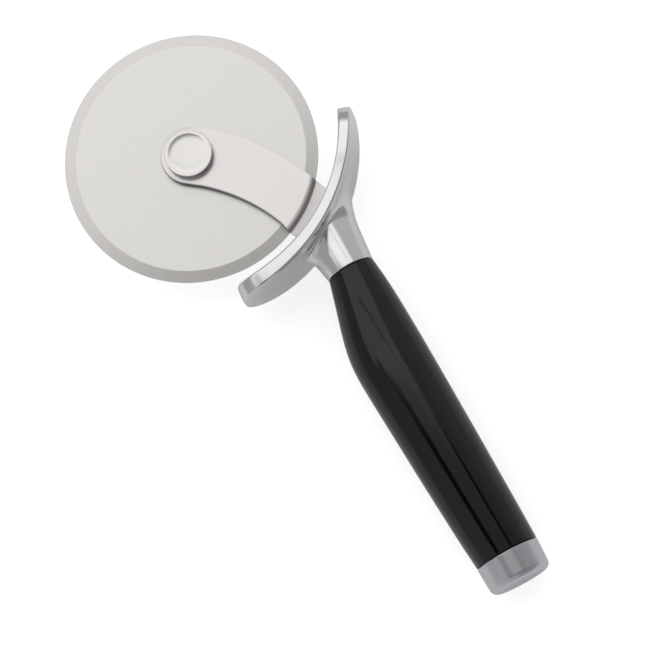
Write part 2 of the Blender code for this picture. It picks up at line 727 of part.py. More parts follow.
def make_nut(material, carrier):
    """The hexagonal nut on the end of the rod."""
    steps = SMALL_STEPS - SMALL_STEPS % 6
    sixth = math.pi / 3
    angles = [2 * math.pi * index / steps for index in range(steps)]
    flat = NUT_ACROSS_FLATS / 2

    def hexagon(x):
        ring = []
        for angle in angles:
            off_flat = (angle % sixth) - sixth / 2
            radius = flat / math.cos(off_flat)
            ring.append(Vector((x, radius * math.cos(angle), radius * math.sin(angle))))
        return ring

    far = NUT_PLACE + NUT_THICKNESS
    bore = ROD_RADIUS + SEAT_GAP
    rings = [
        hexagon(NUT_PLACE),
        hexagon(far),
        round_ring(far, bore, angles),
        round_ring(NUT_PLACE, bore, angles),
    ]
    return piece("clamp_nut", loft(rings, closed=True), material, carrier)


def make_end_cap(material, carrier):
    """The drawn cup that closes the grip."""
    end = END_CAP_START + END_CAP_LENGTH
    inside = GRIP_REAR_SPIGOT_RADIUS + SEAT_GAP
    corner = arc_points(
        END_CAP_END_RADIUS - END_CAP_CORNER, end - END_CAP_CORNER, END_CAP_CORNER,
        0, math.pi / 2, CORNER_STEPS + 1,
    )
    inner_end = end - END_CAP_WALL
    profile = [
        (0, inner_end),
        (inside - END_CAP_WALL / 2, inner_end),
        (inside, inner_end - END_CAP_WALL / 2),
        (inside, END_CAP_START),
        (END_CAP_RADIUS - GRIP_EDGE_ROUND, END_CAP_START),
        (END_CAP_RADIUS, END_CAP_START + GRIP_EDGE_ROUND),
        *corner,
        (0, end),
    ]
    return piece("end_cap", along_handle(turned(profile, ROUND_STEPS)), material, carrier)


def world_points(made, table):
    """Evaluated corners of a piece, in the world."""
    evaluated = made.evaluated_get(table)
    return [evaluated.matrix_world @ vertex.co for vertex in evaluated.data.vertices]


def lay_on_table(cutter, guard, end_cap, pieces):
    """Tilt the cutter until guard and cap touch the table, and centre it over the origin."""
    for _ in range(CORNER_STEPS):
        bpy.context.view_layer.update()
        table = bpy.context.evaluated_depsgraph_get()
        guard_low = min(world_points(guard, table), key=lambda point: point.z)
        cap_low = min(world_points(end_cap, table), key=lambda point: point.z)
        cutter.rotation_euler.y += math.atan2(cap_low.z - guard_low.z, cap_low.x - guard_low.x)
    bpy.context.view_layer.update()
    table = bpy.context.evaluated_depsgraph_get()
    points = [point for made in pieces for point in world_points(made, table)]
    middle_x = (min(point.x for point in points) + max(point.x for point in points)) / 2
    middle_y = (min(point.y for point in points) + max(point.y for point in points)) / 2
    lowest = min(point.z for point in points)
    cutter.location -= Vector((middle_x, middle_y, lowest))
    bpy.context.view_layer.update()


def build_cutter():
    """Make every piece and lay the cutter down."""
    empty_the_scene()
    blade_steel = finish("ground_stainless_blade", "#dedbd7", 0.32, 1)
    arm_steel = finish("brushed_stainless_arm", "#dcd9d6", 0.30, 1)
    cast_metal = finish("satin_cast_guard", "#c3c5c7", 0.28, 1)
    cap_steel = finish("satin_end_cap", "#96989c", 0.35, 1)
    axle_steel = finish("turned_axle_steel", "#b8b8ba", 0.3, 1)
    zinc_steel = finish("zinc_plated_fixings", "#a9acae", 0.4, 1)
    nylon = finish("natural_nylon", "#e6e2d6", 0.5, 0)
    grip_plastic = finish("gloss_black_grip", "#1c1c20", 0.18, 0)

    cutter = frame_empty("cutter_on_table", None, (0, 0, 0))
    wheel_axis = frame_empty("wheel_axis", cutter, WHEEL_CENTRE)

    casting = make_casting(cast_metal, cutter)
    end_cap = make_end_cap(cap_steel, cutter)
    pieces = [
        casting,
        end_cap,
        make_blade(blade_steel, wheel_axis),
        make_bushing(nylon, wheel_axis),
        make_arm(arm_steel, cutter),
        make_pin(zinc_steel, cutter),
        make_grip(grip_plastic, cutter),
        make_rod(zinc_steel, cutter),
        make_clamp_washer(zinc_steel, cutter),
        make_nut(zinc_steel, cutter),
    ]
    hub_pieces = [
        make_washer("front_washer", WASHER_INNER_FACE, WASHER_OUTER_FACE, nylon, cutter),
        make_washer("rear_washer", -WASHER_OUTER_FACE, -WASHER_INNER_FACE, nylon, cutter),
        make_axle(axle_steel, cutter),
        make_hub_cap(arm_steel, cutter),
    ]
    for made in hub_pieces:
        made.location = WHEEL_CENTRE
    lay_on_table(cutter, casting, end_cap, pieces + hub_pieces)
    print("tilt on the table, degrees:", round(math.degrees(cutter.rotation_euler.y), 3))
    print("handle frame origin:", [round(value, 6) for value in cutter.matrix_world.translation])
    print("wheel axis at:", [round(value, 6) for value in wheel_axis.matrix_world.translation])


build_cutter()
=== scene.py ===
# %% [markdown]
# # A pizza cutter with a side arm and a finger guard
#
# This lesson dresses a finished CAD model for a picture. The CAD model says where everything is and
# how the blade turns. Here each visible piece gets a finer shape and a finish of its own.
# All lengths are in metres, so a length in millimetres is multiplied by MM.

# %% Load the CAD model as a fixed frame
import json
import math

import bmesh
import bpy
from mathutils import Matrix, Vector


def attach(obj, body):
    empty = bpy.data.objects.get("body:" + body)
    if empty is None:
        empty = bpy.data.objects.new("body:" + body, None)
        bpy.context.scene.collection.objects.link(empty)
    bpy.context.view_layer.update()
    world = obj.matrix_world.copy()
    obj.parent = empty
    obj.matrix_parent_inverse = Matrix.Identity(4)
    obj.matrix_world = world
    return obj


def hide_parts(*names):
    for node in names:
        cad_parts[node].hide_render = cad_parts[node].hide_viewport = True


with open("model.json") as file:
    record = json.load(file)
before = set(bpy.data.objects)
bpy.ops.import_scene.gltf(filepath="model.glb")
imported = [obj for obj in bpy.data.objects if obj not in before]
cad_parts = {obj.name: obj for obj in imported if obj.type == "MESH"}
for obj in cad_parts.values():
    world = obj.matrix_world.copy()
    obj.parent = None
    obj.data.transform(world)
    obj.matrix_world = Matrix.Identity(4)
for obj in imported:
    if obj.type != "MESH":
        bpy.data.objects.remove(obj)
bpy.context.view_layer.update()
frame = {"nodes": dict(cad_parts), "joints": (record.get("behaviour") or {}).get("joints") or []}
print("CAD nodes:", sorted(frame["nodes"]))

# %% [markdown]
# ## The handle's own frame
#
# The cutter lies on its side, on the rim of the guard and on its end cap, so it is tilted a little.
# Modelling is easier in the handle's own frame: X along the grip from the ferrule to the cap, Z
# along the blade's axle. The joint of the CAD model gives the axle, and from it the tilt and the
# place of that frame follow. Guessing both by eye would work too, but this one can't be wrong.

# %% Find the handle's frame from the axle
MM = 0.001
WHEEL_CENTRE = Vector((-62.6, -29.8, 0)) * MM

joint = frame["joints"][0]
axle = Vector(joint["axis"])
tilt = math.atan2(axle.x, axle.z)
turn = Matrix.Rotation(tilt, 4, "Y")
handle_origin = Vector(joint["pos_m"]) - turn @ WHEEL_CENTRE
HANDLE = Matrix.Translation(handle_origin) @ turn
WHEEL = HANDLE @ Matrix.Translation(WHEEL_CENTRE)
print("tilt in degrees:", round(math.degrees(tilt), 3))

# %% [markdown]
# ## Camera
#
# The photograph was taken from almost straight above with a long lens. A long lens keeps the
# ellipses of the round parts nearly the same all over the picture. The camera's place, its line of
# sight and its upward direction are given in the handle's frame, because they were found there.

# %% Set up the camera
IMAGE_WIDTH = 660
FOCAL_LENGTH_IN_PIXELS = 2400
SENSOR_WIDTH = 36
CAMERA_PLACE = Vector((195.96, -20.0, 796.18)) * MM
LINE_OF_SIGHT = Vector((-0.2217, 0.0049, -0.9751))
CAMERA_UP = Vector((-0.8561, 0.4778, 0.1970))

bpy.ops.object.select_all(action="DESELECT")
bpy.ops.object.camera_add()
camera = bpy.context.object
backwards = -LINE_OF_SIGHT.normalized()
rightwards = CAMERA_UP.cross(backwards).normalized()
upwards = backwards.cross(rightwards)
camera_axes = Matrix((rightwards, upwards, backwards)).transposed().to_4x4()
camera.matrix_world = HANDLE @ Matrix.Translation(CAMERA_PLACE) @ camera_axes
camera.data.sensor_width = SENSOR_WIDTH
camera.data.lens = SENSOR_WIDTH * FOCAL_LENGTH_IN_PIXELS / IMAGE_WIDTH
bpy.context.scene.camera = camera
bpy.context.scene.view_settings.view_transform = "Standard"
print("lens in mm:", round(camera.data.lens, 1))

# %% [markdown]
# ## Two helpers for materials
#
# Blender works with linear light, while colours are read from a screen as sRGB hex values, so one
# function turns the one into the other. A second function adds a node, with its settings, and fills
# its sockets with numbers or with the outputs of other nodes.

# %% Colour and node helpers
def linear(hex_colour):
    """Turn an sRGB hex colour into linear red, green, blue and alpha."""
    channels = [int(hex_colour[start:start + 2], 16) / 255 for start in (1, 3, 5)]
    return (*[
        value / 12.92 if value <= 0.04045 else ((value + 0.055) / 1.055) ** 2.4
        for value in channels
    ], 1)


def add_node(tree, kind, sockets, **settings):
    """Add a node, set it up, and fill its sockets with values or with what other nodes give.

    A socket goes by its name, or by its number where several have the same name.
    """
    made = tree.nodes.new("ShaderNode" + kind)
    for name, value in settings.items():
        setattr(made, name, value)
    for name, value in sockets.items():
        if isinstance(name, int):
            socket = made.inputs[name]
        else:
            socket = next(each for each in made.inputs if each.enabled and each.name == name)
        if isinstance(value, bpy.types.Node):
            value = next(each for each in value.outputs if each.enabled)
        if isinstance(value, bpy.types.NodeSocket):
            tree.links.new(value, socket)
        else:
            socket.default_value = value
    return made


print("white is", linear("#ffffff"))

# %% [markdown]
# ## Light
#
# Metal has hardly any look of its own: it shows the room. In the photograph one large soft box
# hangs over the blade, its light fades towards the end cap, and the walls around it are a dim grey.
# Area lamps could do this, but here the room is painted into the world, where each share of it can
# be set by itself. A direction is projected on a plane overhead, which gives it two coordinates:
# how far it leans towards the blade, and how far across the handle.

# %% Directions become places on a plane overhead
LOWEST_HEIGHT = 0.02

world = bpy.data.worlds.new("soft_box_room")
bpy.context.scene.world = world
world.use_nodes = True
sky = world.node_tree
sky.nodes.clear()
looking = add_node(sky, "TexCoord", {})
turned_back = add_node(
    sky, "Mapping", {"Vector": looking, "Rotation": (0, tilt, 0)}, vector_type="TEXTURE")
way = add_node(sky, "SeparateXYZ", {"Vector": turned_back})
height = add_node(sky, "Math", {0: way.outputs["Z"], 1: LOWEST_HEIGHT}, operation="MAXIMUM")
towards_cap = add_node(sky, "Math", {0: way.outputs["X"], 1: height}, operation="DIVIDE")
towards_blade = add_node(sky, "Math", {0: towards_cap, 1: -1.0}, operation="MULTIPLY")
across = add_node(sky, "Math", {0: way.outputs["Y"], 1: height}, operation="DIVIDE")
print("room turned by", round(math.degrees(tilt), 2), "degrees, like the handle")

# %% [markdown]
# The light overhead changes from the end cap's side to far behind the blade. A color ramp holds it
# as a short row of places and strengths.

# %% The light overhead
OVERHEAD = (
    (-0.90, 0.30), (-0.35, 0.20), (-0.10, 0.33), (0.05, 0.48), (0.14, 0.58), (0.20, 1.42),
    (0.26, 1.46), (0.34, 1.31), (0.50, 1.37), (0.80, 1.34), (1.20, 1.50), (1.80, 0.47),
)

start, end = OVERHEAD[0][0], OVERHEAD[-1][0]
along = add_node(sky, "MapRange", {"Value": towards_blade, "From Min": start, "From Max": end})
overhead = add_node(sky, "ValToRGB", {"Fac": along})
stops = overhead.color_ramp.elements
for place, _ in OVERHEAD[1:-1]:
    stops.new((place - start) / (end - start))
for stop, (_, light) in zip(stops, OVERHEAD):
    stop.color = (light, light, light, 1)
print("brightest overhead:", max(light for _, light in OVERHEAD))

# %% [markdown]
# The box is narrower than the room, and its two long edges run apart towards the blade. Over the
# blade a wing of the box reaches further out to the left. Beyond the box are the walls, a little
# unlike on the two sides.

# %% The edges of the box and the walls beside it
SOFT_STEP = {"interpolation_type": "SMOOTHSTEP"}
LEFT_WALL = (0.62, 0.48)
RIGHT_WALL = (0.38, 0.65)
WALL_CHANGES = (0.0, 0.4)
LEFT_EDGE = {"lean": 0.55, "outer": -0.55, "inner": -0.39}
RIGHT_EDGE = {"lean": -0.45, "outer": 0.50, "inner": 0.34}
WING_STARTS = (0.27, 0.33)
WING_EDGE = (-1.30, -1.00)

walls = [
    add_node(sky, "MapRange", {
        "Value": towards_blade, "From Min": WALL_CHANGES[0], "From Max": WALL_CHANGES[1],
        "To Min": near, "To Max": far,
    }, **SOFT_STEP)
    for near, far in (LEFT_WALL, RIGHT_WALL)
]
to_the_right = add_node(sky, "Math", {0: across, 1: 0.0}, operation="GREATER_THAN")
beside = add_node(sky, "Mix", {"Factor": to_the_right, "A": walls[0], "B": walls[1]})
inside = []
for edge in (LEFT_EDGE, RIGHT_EDGE):
    leaning = add_node(
        sky, "Math", {0: towards_blade, 1: edge["lean"], 2: across}, operation="MULTIPLY_ADD")
    inside.append(add_node(sky, "MapRange", {
        "Value": leaning, "From Min": edge["outer"], "From Max": edge["inner"],
    }, **SOFT_STEP))
over_blade, short_of_edge = [
    add_node(sky, "MapRange", {"Value": value, "From Min": outer, "From Max": inner}, **SOFT_STEP)
    for value, (outer, inner) in ((towards_blade, WING_STARTS), (across, WING_EDGE))
]
in_wing = add_node(sky, "Math", {0: over_blade, 1: short_of_edge}, operation="MULTIPLY")
inside[0] = add_node(sky, "Math", {0: inside[0], 1: in_wing}, operation="MAXIMUM")
in_box = add_node(sky, "Math", {0: inside[0], 1: inside[1]}, operation="MULTIPLY")
level = add_node(sky, "Mix", {"Factor": in_box, "A": beside, "B": overhead})
print("walls, near and far:", LEFT_WALL, RIGHT_WALL)

# %% [markdown]
# The black grip is a mirror for the finer parts of the room. Its long dark flanks are gaps beside
# the box, and the thin line on its back is a seam in the box's cloth, which runs on a wide circle.

# %% Dark gaps beside the box and a seam in it
GAPS_ACROSS = ((-0.70, -0.38), (0.37, 0.55))
GAP_SOFTNESS = 0.03
GAP_REACH = {-0.5: -0.3, 0.22: 0.14}
SEAM_CENTRE = (-0.323, -0.524)
SEAM_RADIUS = 0.94
SEAM_WIDTH = (0.022, 0.008)
SEAM_REACH = {0.62: 0.56, 0.18: 0.27}
SEAM_KEEPS = 0.25

near_end, far_end = [
    add_node(sky, "MapRange", {
        "Value": towards_blade, "From Min": outer, "From Max": inner,
    }, **SOFT_STEP)
    for outer, inner in GAP_REACH.items()
]
reached = add_node(sky, "Math", {0: near_end, 1: far_end}, operation="MULTIPLY")
for sides in GAPS_ACROSS:
    dark = reached
    for side, inwards in zip(sides, (GAP_SOFTNESS, -GAP_SOFTNESS)):
        entered = add_node(sky, "MapRange", {
            "Value": across, "From Min": side - inwards, "From Max": side + inwards,
        }, **SOFT_STEP)
        dark = add_node(sky, "Math", {0: dark, 1: entered}, operation="MULTIPLY")
    kept = add_node(sky, "Math", {0: 1.0, 1: dark}, operation="SUBTRACT")
    level = add_node(sky, "Math", {0: level, 1: kept}, operation="MULTIPLY")

on_plane = add_node(sky, "CombineXYZ", {"X": towards_blade, "Y": across})
from_centre = add_node(
    sky, "VectorMath", {0: on_plane, 1: (*SEAM_CENTRE, 0)}, operation="DISTANCE")
off_seam = add_node(sky, "Math", {0: from_centre, 1: SEAM_RADIUS}, operation="SUBTRACT")
off_seam = add_node(sky, "Math", {0: off_seam}, operation="ABSOLUTE")
seam = add_node(sky, "MapRange", {
    "Value": off_seam, "From Min": SEAM_WIDTH[0], "From Max": SEAM_WIDTH[1],
}, **SOFT_STEP)
for outer, inner in SEAM_REACH.items():
    reaches = add_node(sky, "MapRange", {
        "Value": towards_blade, "From Min": outer, "From Max": inner,
    }, **SOFT_STEP)
    seam = add_node(sky, "Math", {0: seam, 1: reaches}, operation="MULTIPLY")
kept = add_node(sky, "Math", {0: seam, 1: SEAM_KEEPS - 1, 2: 1.0}, operation="MULTIPLY_ADD")
level = add_node(sky, "Math", {0: level, 1: kept}, operation="MULTIPLY")
print("dark gaps:", len(GAPS_ACROSS), "and a seam that keeps", SEAM_KEEPS, "of the light")

# %% [markdown]
# The walls are a shade bluer than the box. The camera itself must see plain white, so its rays are
# told apart from all others and get a white light of their own.

# %% The camera itself sees a white room
WALL_TINT = (0.776, 0.788, 0.812, 1)
BOX_TINT = (0.8, 0.8, 0.8, 1)

tint = add_node(sky, "Mix", {"Factor": in_box, "A": WALL_TINT, "B": BOX_TINT}, data_type="RGBA")
room_light = add_node(sky, "Background", {"Color": tint, "Strength": level})
white_light = add_node(sky, "Background", {"Color": (1, 1, 1, 1), "Strength": 1.0})
rays = add_node(sky, "LightPath", {})
seen = add_node(sky, "MixShader", {0: rays.outputs["Is Camera Ray"], 1: room_light, 2: white_light})
add_node(sky, "OutputWorld", {"Surface": seen})
print("nodes in the room:", len(sky.nodes))

# %% [markdown]
# ## Floor
#
# The photograph's background was cut out to plain white. A white floor under soft light is only
# light grey, so the floor adds some light of its own where the camera looks at it. It is kept low
# enough that the cutter's soft shadow stays. Polished metal sees the floor as well, so a part of that
# light is also added for glossy and for transmitted rays.

# %% Make the floor
FLOOR_SIZE = 12.0
FLOOR_COLOUR = "#f2f2f2"
FLOOR_OWN_LIGHT = 0.68
SHARE_IN_METAL = 0.25

bpy.ops.mesh.primitive_plane_add(size=FLOOR_SIZE)
floor = bpy.context.object
floor.name = "white_floor"
paper = bpy.data.materials.new("matt_white_paper")
paper.use_nodes = True
tree = paper.node_tree
tree.nodes.clear()
rays = add_node(tree, "LightPath", {})
in_metal = add_node(tree, "Math", {
    0: rays.outputs["Is Glossy Ray"], 1: rays.outputs["Is Transmission Ray"],
}, operation="MAXIMUM")
part = add_node(tree, "Math", {0: in_metal, 1: SHARE_IN_METAL}, operation="MULTIPLY")
either = add_node(tree, "Math", {0: rays.outputs["Is Camera Ray"], 1: part}, operation="MAXIMUM")
own_light = add_node(tree, "Math", {0: either, 1: FLOOR_OWN_LIGHT}, operation="MULTIPLY")
shader = add_node(tree, "BsdfPrincipled", {
    "Base Color": linear(FLOOR_COLOUR), "Roughness": 0.9, "Specular IOR Level": 0.0,
    "Emission Color": (1, 1, 1, 1), "Emission Strength": own_light,
})
add_node(tree, "OutputMaterial", {"Surface": shader})
floor.data.materials.append(paper)
print("floor is", FLOOR_SIZE, "m wide")

# %% [markdown]
# ## Helpers for modelling
#
# A turned piece is made as on a lathe: one corner is extruded along the half section, and the
# section is spun round the axis. Each piece, turned or not, is then smoothed, gets its finish,
# takes the place of its CAD node, which is hidden, and is tied to the body that it moves with.

# %% Turn a piece
MERGE_DISTANCE = 0.0005 * MM


def spun(name, section, steps):
    """Turn a half section of (radius, height) corners about Z."""
    bpy.ops.object.select_all(action="DESELECT")
    bpy.ops.mesh.primitive_plane_add(size=MM)
    piece = bpy.context.object
    piece.name = name
    bpy.ops.object.mode_set(mode="EDIT")
    bpy.ops.mesh.select_mode(type="VERT")
    bpy.ops.mesh.select_all(action="SELECT")
    bpy.ops.mesh.merge(type="CENTER")
    bpy.ops.transform.translate(value=(section[0][0], 0, section[0][1]))
    for (radius, level), (next_radius, next_level) in zip(section, section[1:]):
        step = (next_radius - radius, 0, next_level - level)
        bpy.ops.mesh.extrude_region_move(TRANSFORM_OT_translate={"value": step})
    bpy.ops.mesh.select_all(action="SELECT")
    bpy.ops.mesh.spin(steps=steps, angle=2 * math.pi, center=(0, 0, 0), axis=(0, 0, 1))
    bpy.ops.mesh.select_all(action="SELECT")
    bpy.ops.mesh.remove_doubles(threshold=MERGE_DISTANCE)
    bpy.ops.mesh.normals_make_consistent(inside=False)
    bpy.ops.object.mode_set(mode="OBJECT")
    return piece


print("corners closer than", round(MERGE_DISTANCE / MM, 4), "mm are merged")


# %% Smooth a piece and lay it in its place
def select_only(piece):
    """Deselect everything, then select one piece and make it active."""
    bpy.ops.object.select_all(action="DESELECT")
    piece.select_set(True)
    bpy.context.view_layer.objects.active = piece


def modify(piece, kind, **settings):
    """Add a modifier, set it, and apply it."""
    select_only(piece)
    step = piece.modifiers.new(kind.lower(), kind)
    for name, value in settings.items():
        setattr(step, name, value)
    bpy.ops.object.modifier_apply(modifier=step.name)


def settle(piece, place, body, node, finish, sharp_degrees):
    """Smooth a finished piece, lay it in its place, hide its CAD node, and tie it to its body."""
    select_only(piece)
    piece.matrix_world = place
    bpy.ops.object.transform_apply(location=True, rotation=True, scale=True)
    bpy.ops.object.shade_smooth_by_angle(angle=math.radians(sharp_degrees))
    modify(piece, "WEIGHTED_NORMAL", keep_sharp=True, weight=80)
    piece.data.materials.clear()
    piece.data.materials.append(finish)
    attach(piece, body)
    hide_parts(node)
    print(piece.name, "has", len(piece.data.polygons), "faces")


# %% [markdown]
# ## How each finish starts and ends
#
# Every finish reads the object's coordinates. A Mapping node lays them in the frame of the piece,
# so that a pattern follows the axle or the grip. Patterns are then made finish by finish. At the
# end one pattern moves the tone and the roughness between two values each, and another is pressed
# into the surface as a very shallow relief.

# %% Start and end of a finish
def start_finish(name, place):
    """A new material, its nodes, and coordinates in metres in the piece's own frame."""
    made = bpy.data.materials.new(name)
    made.use_nodes = True
    tree = made.node_tree
    tree.nodes.clear()
    source = add_node(tree, "TexCoord", {})
    local = add_node(tree, "Mapping", {
        "Vector": source.outputs["Object"],
        "Location": place.to_translation(),
        "Rotation": place.to_euler(),
    }, vector_type="TEXTURE")
    return made, tree, local


def end_finish(tree, pattern, tones, roughness, pressed, depth, fixed):
    """Add the shader: tone and roughness follow a pattern, and another is pressed in."""
    tone = add_node(tree, "Mix", {"Factor": pattern, "A": tones[0], "B": tones[1]}, data_type="RGBA")
    dull = add_node(tree, "Mix", {"Factor": pattern, "A": roughness[0], "B": roughness[1]})
    relief = add_node(tree, "Bump", {"Height": pressed, "Distance": depth})
    shader = add_node(tree, "BsdfPrincipled", {
        "Base Color": tone, "Roughness": dull, "Normal": relief, **fixed,
    })
    add_node(tree, "OutputMaterial", {"Surface": shader})


# %% [markdown]
# ## Finish of the blade: ground stainless steel
#
# Cutter blades are stamped from martensitic stainless sheet, such as AISI 420, and ground while
# they turn. Grinding leaves fine rings round the axle, which widen each reflection to a soft sheen,
# so the face looks evenly pale. The bevel is ground across the edge, with short radial lines, and
# is a little greyer and rougher than the face. Real grinding lines are about 0.1 mm apart, too fine
# for this picture, so they are drawn coarser. Turned and spun pieces have such rings as well, so one
# function makes them for all.

# %% Ground stainless steel
RING_SPACING = 0.7 * MM
BEVEL_LINE_SPACING = 0.6 * MM
BEVEL_INNER_RADIUS = 40.4 * MM
BEVEL_BLEND = 0.05 * MM
CLOUD_SIZE = 9 * MM
CLOUD_SHARE = 0.4
FACE_ROUGHNESS = (0.34, 0.38)
BEVEL_ROUGHNESS = (0.34, 0.42)
FACE_TONES = (linear("#eae7e4"), linear("#f2f0ed"))
BEVEL_TONES = (linear("#dad7d4"), linear("#e5e2df"))


def rings_round_axle(tree, local, spacing, detail):
    """Uneven rings at a mean spacing, and the distance from the axle that they follow."""
    flat = add_node(tree, "VectorMath", {0: local, 1: (1, 1, 0)}, operation="MULTIPLY")
    radius = add_node(tree, "VectorMath", {0: flat}, operation="LENGTH")
    rings = add_node(
        tree, "TexNoise", {"W": radius, "Scale": 1 / spacing, "Detail": detail}, noise_dimensions="1D")
    return rings, radius


blade_steel, tree, local = start_finish("ground_stainless_steel_420", WHEEL)
rings, radius = rings_round_axle(tree, local, RING_SPACING, detail=3.0)
clouds = add_node(tree, "TexNoise", {"Vector": local, "Scale": 1 / CLOUD_SIZE, "Detail": 4.0})
apart = add_node(tree, "SeparateXYZ", {"Vector": local})
bearing = add_node(tree, "Math", {0: apart.outputs["Y"], 1: apart.outputs["X"]}, operation="ARCTAN2")
strokes = add_node(tree, "TexNoise", {
    "W": bearing, "Scale": BEVEL_INNER_RADIUS / BEVEL_LINE_SPACING, "Detail": 2.0,
}, noise_dimensions="1D")
on_bevel = add_node(tree, "MapRange", {
    "Value": radius,
    "From Min": BEVEL_INNER_RADIUS - BEVEL_BLEND, "From Max": BEVEL_INNER_RADIUS + BEVEL_BLEND,
})
lines = add_node(tree, "Mix", {"Factor": on_bevel, "A": rings, "B": strokes})
grain = add_node(tree, "Mix", {"Factor": CLOUD_SHARE, "A": lines, "B": clouds})
roughness = [
    add_node(tree, "Mix", {"Factor": on_bevel, "A": face, "B": bevel})
    for face, bevel in zip(FACE_ROUGHNESS, BEVEL_ROUGHNESS)
]
tones = [
    add_node(tree, "Mix", {"Factor": on_bevel, "A": face, "B": bevel}, data_type="RGBA")
    for face, bevel in zip(FACE_TONES, BEVEL_TONES)
]
end_finish(tree, grain, tones, roughness, pressed=lines, depth=0.001 * MM, fixed={"Metallic": 1.0})
print("grinding rings every", RING_SPACING / MM, "mm")

# %% [markdown]
# ## Blade
#
# The blade is a thin disc with a flat face and a ground bevel on both sides. A flattened cylinder
# would do, but its bevel has to end in a thin, not quite sharp edge, and the bore has to be there
# for the bushing. Spinning the half section gives all of that in one step. The crease where the
# bevel starts stays sharp, because it is a ground edge.

# %% Model the blade
BLADE_RADIUS = 44.5 * MM
BLADE_FACE = 0.6 * MM
BLADE_EDGE = 0.12 * MM
BLADE_EDGE_ROUND = 0.05 * MM
BLADE_BORE = 5.3 * MM
FACE_MIDDLE = 21.2 * MM

upper_side = [
    (BLADE_BORE, BLADE_FACE),
    (FACE_MIDDLE, BLADE_FACE),
    (BEVEL_INNER_RADIUS, BLADE_FACE),
    (BLADE_RADIUS - BLADE_EDGE_ROUND, BLADE_EDGE),
    (BLADE_RADIUS, BLADE_EDGE / 2),
]
lower_side = [(radius, -level) for radius, level in upper_side]
blade = spun("blade", [*lower_side, *reversed(upper_side), lower_side[0]], steps=256)
settle(
    blade, WHEEL, "wheel", "blade_wheel", blade_steel, sharp_degrees=4)

# %% [markdown]
# ## Finish and shape of the washers and the axle
#
# The spacers are punched from natural nylon, a milky white plastic that needs no oil. Light goes
# a little way into it, which keeps it soft to the eye. The axle is a turned steel rivet. Turning
# leaves rings round its axis that catch the light on the head behind the blade.

# %% Nylon and turned steel
SPECK_SIZE = 0.8 * MM
LIGHT_REACH = (1.2 * MM, 1.0 * MM, 0.8 * MM)
TURNING_SPACING = 0.35 * MM

nylon, tree, local = start_finish("natural_nylon_sheet", WHEEL)
specks = add_node(tree, "TexNoise", {"Vector": local, "Scale": 1 / SPECK_SIZE, "Detail": 3.0})
end_finish(
    tree, specks, (linear("#dfdbce"), linear("#e9e6db")), roughness=(0.42, 0.56), pressed=specks,
    depth=0.004 * MM,
    fixed={"Subsurface Weight": 0.15, "Subsurface Radius": LIGHT_REACH, "Subsurface Scale": 1.0})

axle_steel, tree, local = start_finish("turned_free_cutting_steel", WHEEL)
turning, _ = rings_round_axle(tree, local, TURNING_SPACING, detail=1.0)
end_finish(
    tree, turning, (linear("#adadb0"), linear("#c5c5c6")), roughness=(0.24, 0.38), pressed=turning,
    depth=0.006 * MM, fixed={"Metallic": 1.0})
print("turning rings every", TURNING_SPACING / MM, "mm")

# %% Model the washers
WASHER_BORE = 3.3 * MM
WASHER_RADIUS = 7.4 * MM
WASHER_EDGE = 0.08 * MM
WASHER_FACES = {"front_washer": (0.8 * MM, 1.3 * MM), "rear_washer": (-1.3 * MM, -0.8 * MM)}

for node, (low, high) in WASHER_FACES.items():
    washer_section = [
        (WASHER_BORE, low),
        (WASHER_RADIUS - WASHER_EDGE, low),
        (WASHER_RADIUS, low + WASHER_EDGE),
        (WASHER_RADIUS, high - WASHER_EDGE),
        (WASHER_RADIUS - WASHER_EDGE, high),
        (WASHER_BORE, high),
        (WASHER_BORE, low),
    ]
    washer = spun("punched_" + node, washer_section, steps=96)
    settle(washer, WHEEL, "handle", node, nylon, sharp_degrees=30)

# %% Model the axle
AXLE_RADIUS = 3.0 * MM
AXLE_END = 4.7 * MM
HEAD_RADIUS = 7.0 * MM
HEAD_TOP = -1.5 * MM
HEAD_BOTTOM = -3.3 * MM
HEAD_ROUND = 0.7 * MM
HEAD_CHAMFER = 0.1 * MM
AXLE_CHAMFER = 0.2 * MM
DIMPLE_RADIUS = 1.4 * MM
DIMPLE_DEPTH = 0.5 * MM
DIMPLE_LIP = (0.15 * MM, 0.1 * MM)


def rounded(radius, height, size, start, end, steps=6):
    """Corners of a quarter round in a half section; the angles are in degrees."""
    angles = [math.radians(start + (end - start) * index / steps) for index in range(steps + 1)]
    return [(radius + size * math.cos(angle), height + size * math.sin(angle)) for angle in angles]


axle_section = [
    (0, HEAD_BOTTOM + DIMPLE_DEPTH),
    (DIMPLE_RADIUS, HEAD_BOTTOM + DIMPLE_LIP[1]),
    (DIMPLE_RADIUS + DIMPLE_LIP[0], HEAD_BOTTOM),
    *rounded(HEAD_RADIUS - HEAD_ROUND, HEAD_BOTTOM + HEAD_ROUND, HEAD_ROUND, -90, 0),
    (HEAD_RADIUS, HEAD_TOP - HEAD_CHAMFER),
    (HEAD_RADIUS - HEAD_CHAMFER, HEAD_TOP),
    (AXLE_RADIUS, HEAD_TOP),
    (AXLE_RADIUS, AXLE_END - AXLE_CHAMFER),
    (AXLE_RADIUS - AXLE_CHAMFER, AXLE_END),
    (0, AXLE_END),
]
axle_piece = spun("axle_with_turned_head", axle_section, steps=128)
settle(
    axle_piece, WHEEL, "handle", "axle_rivet", axle_steel, sharp_degrees=30)
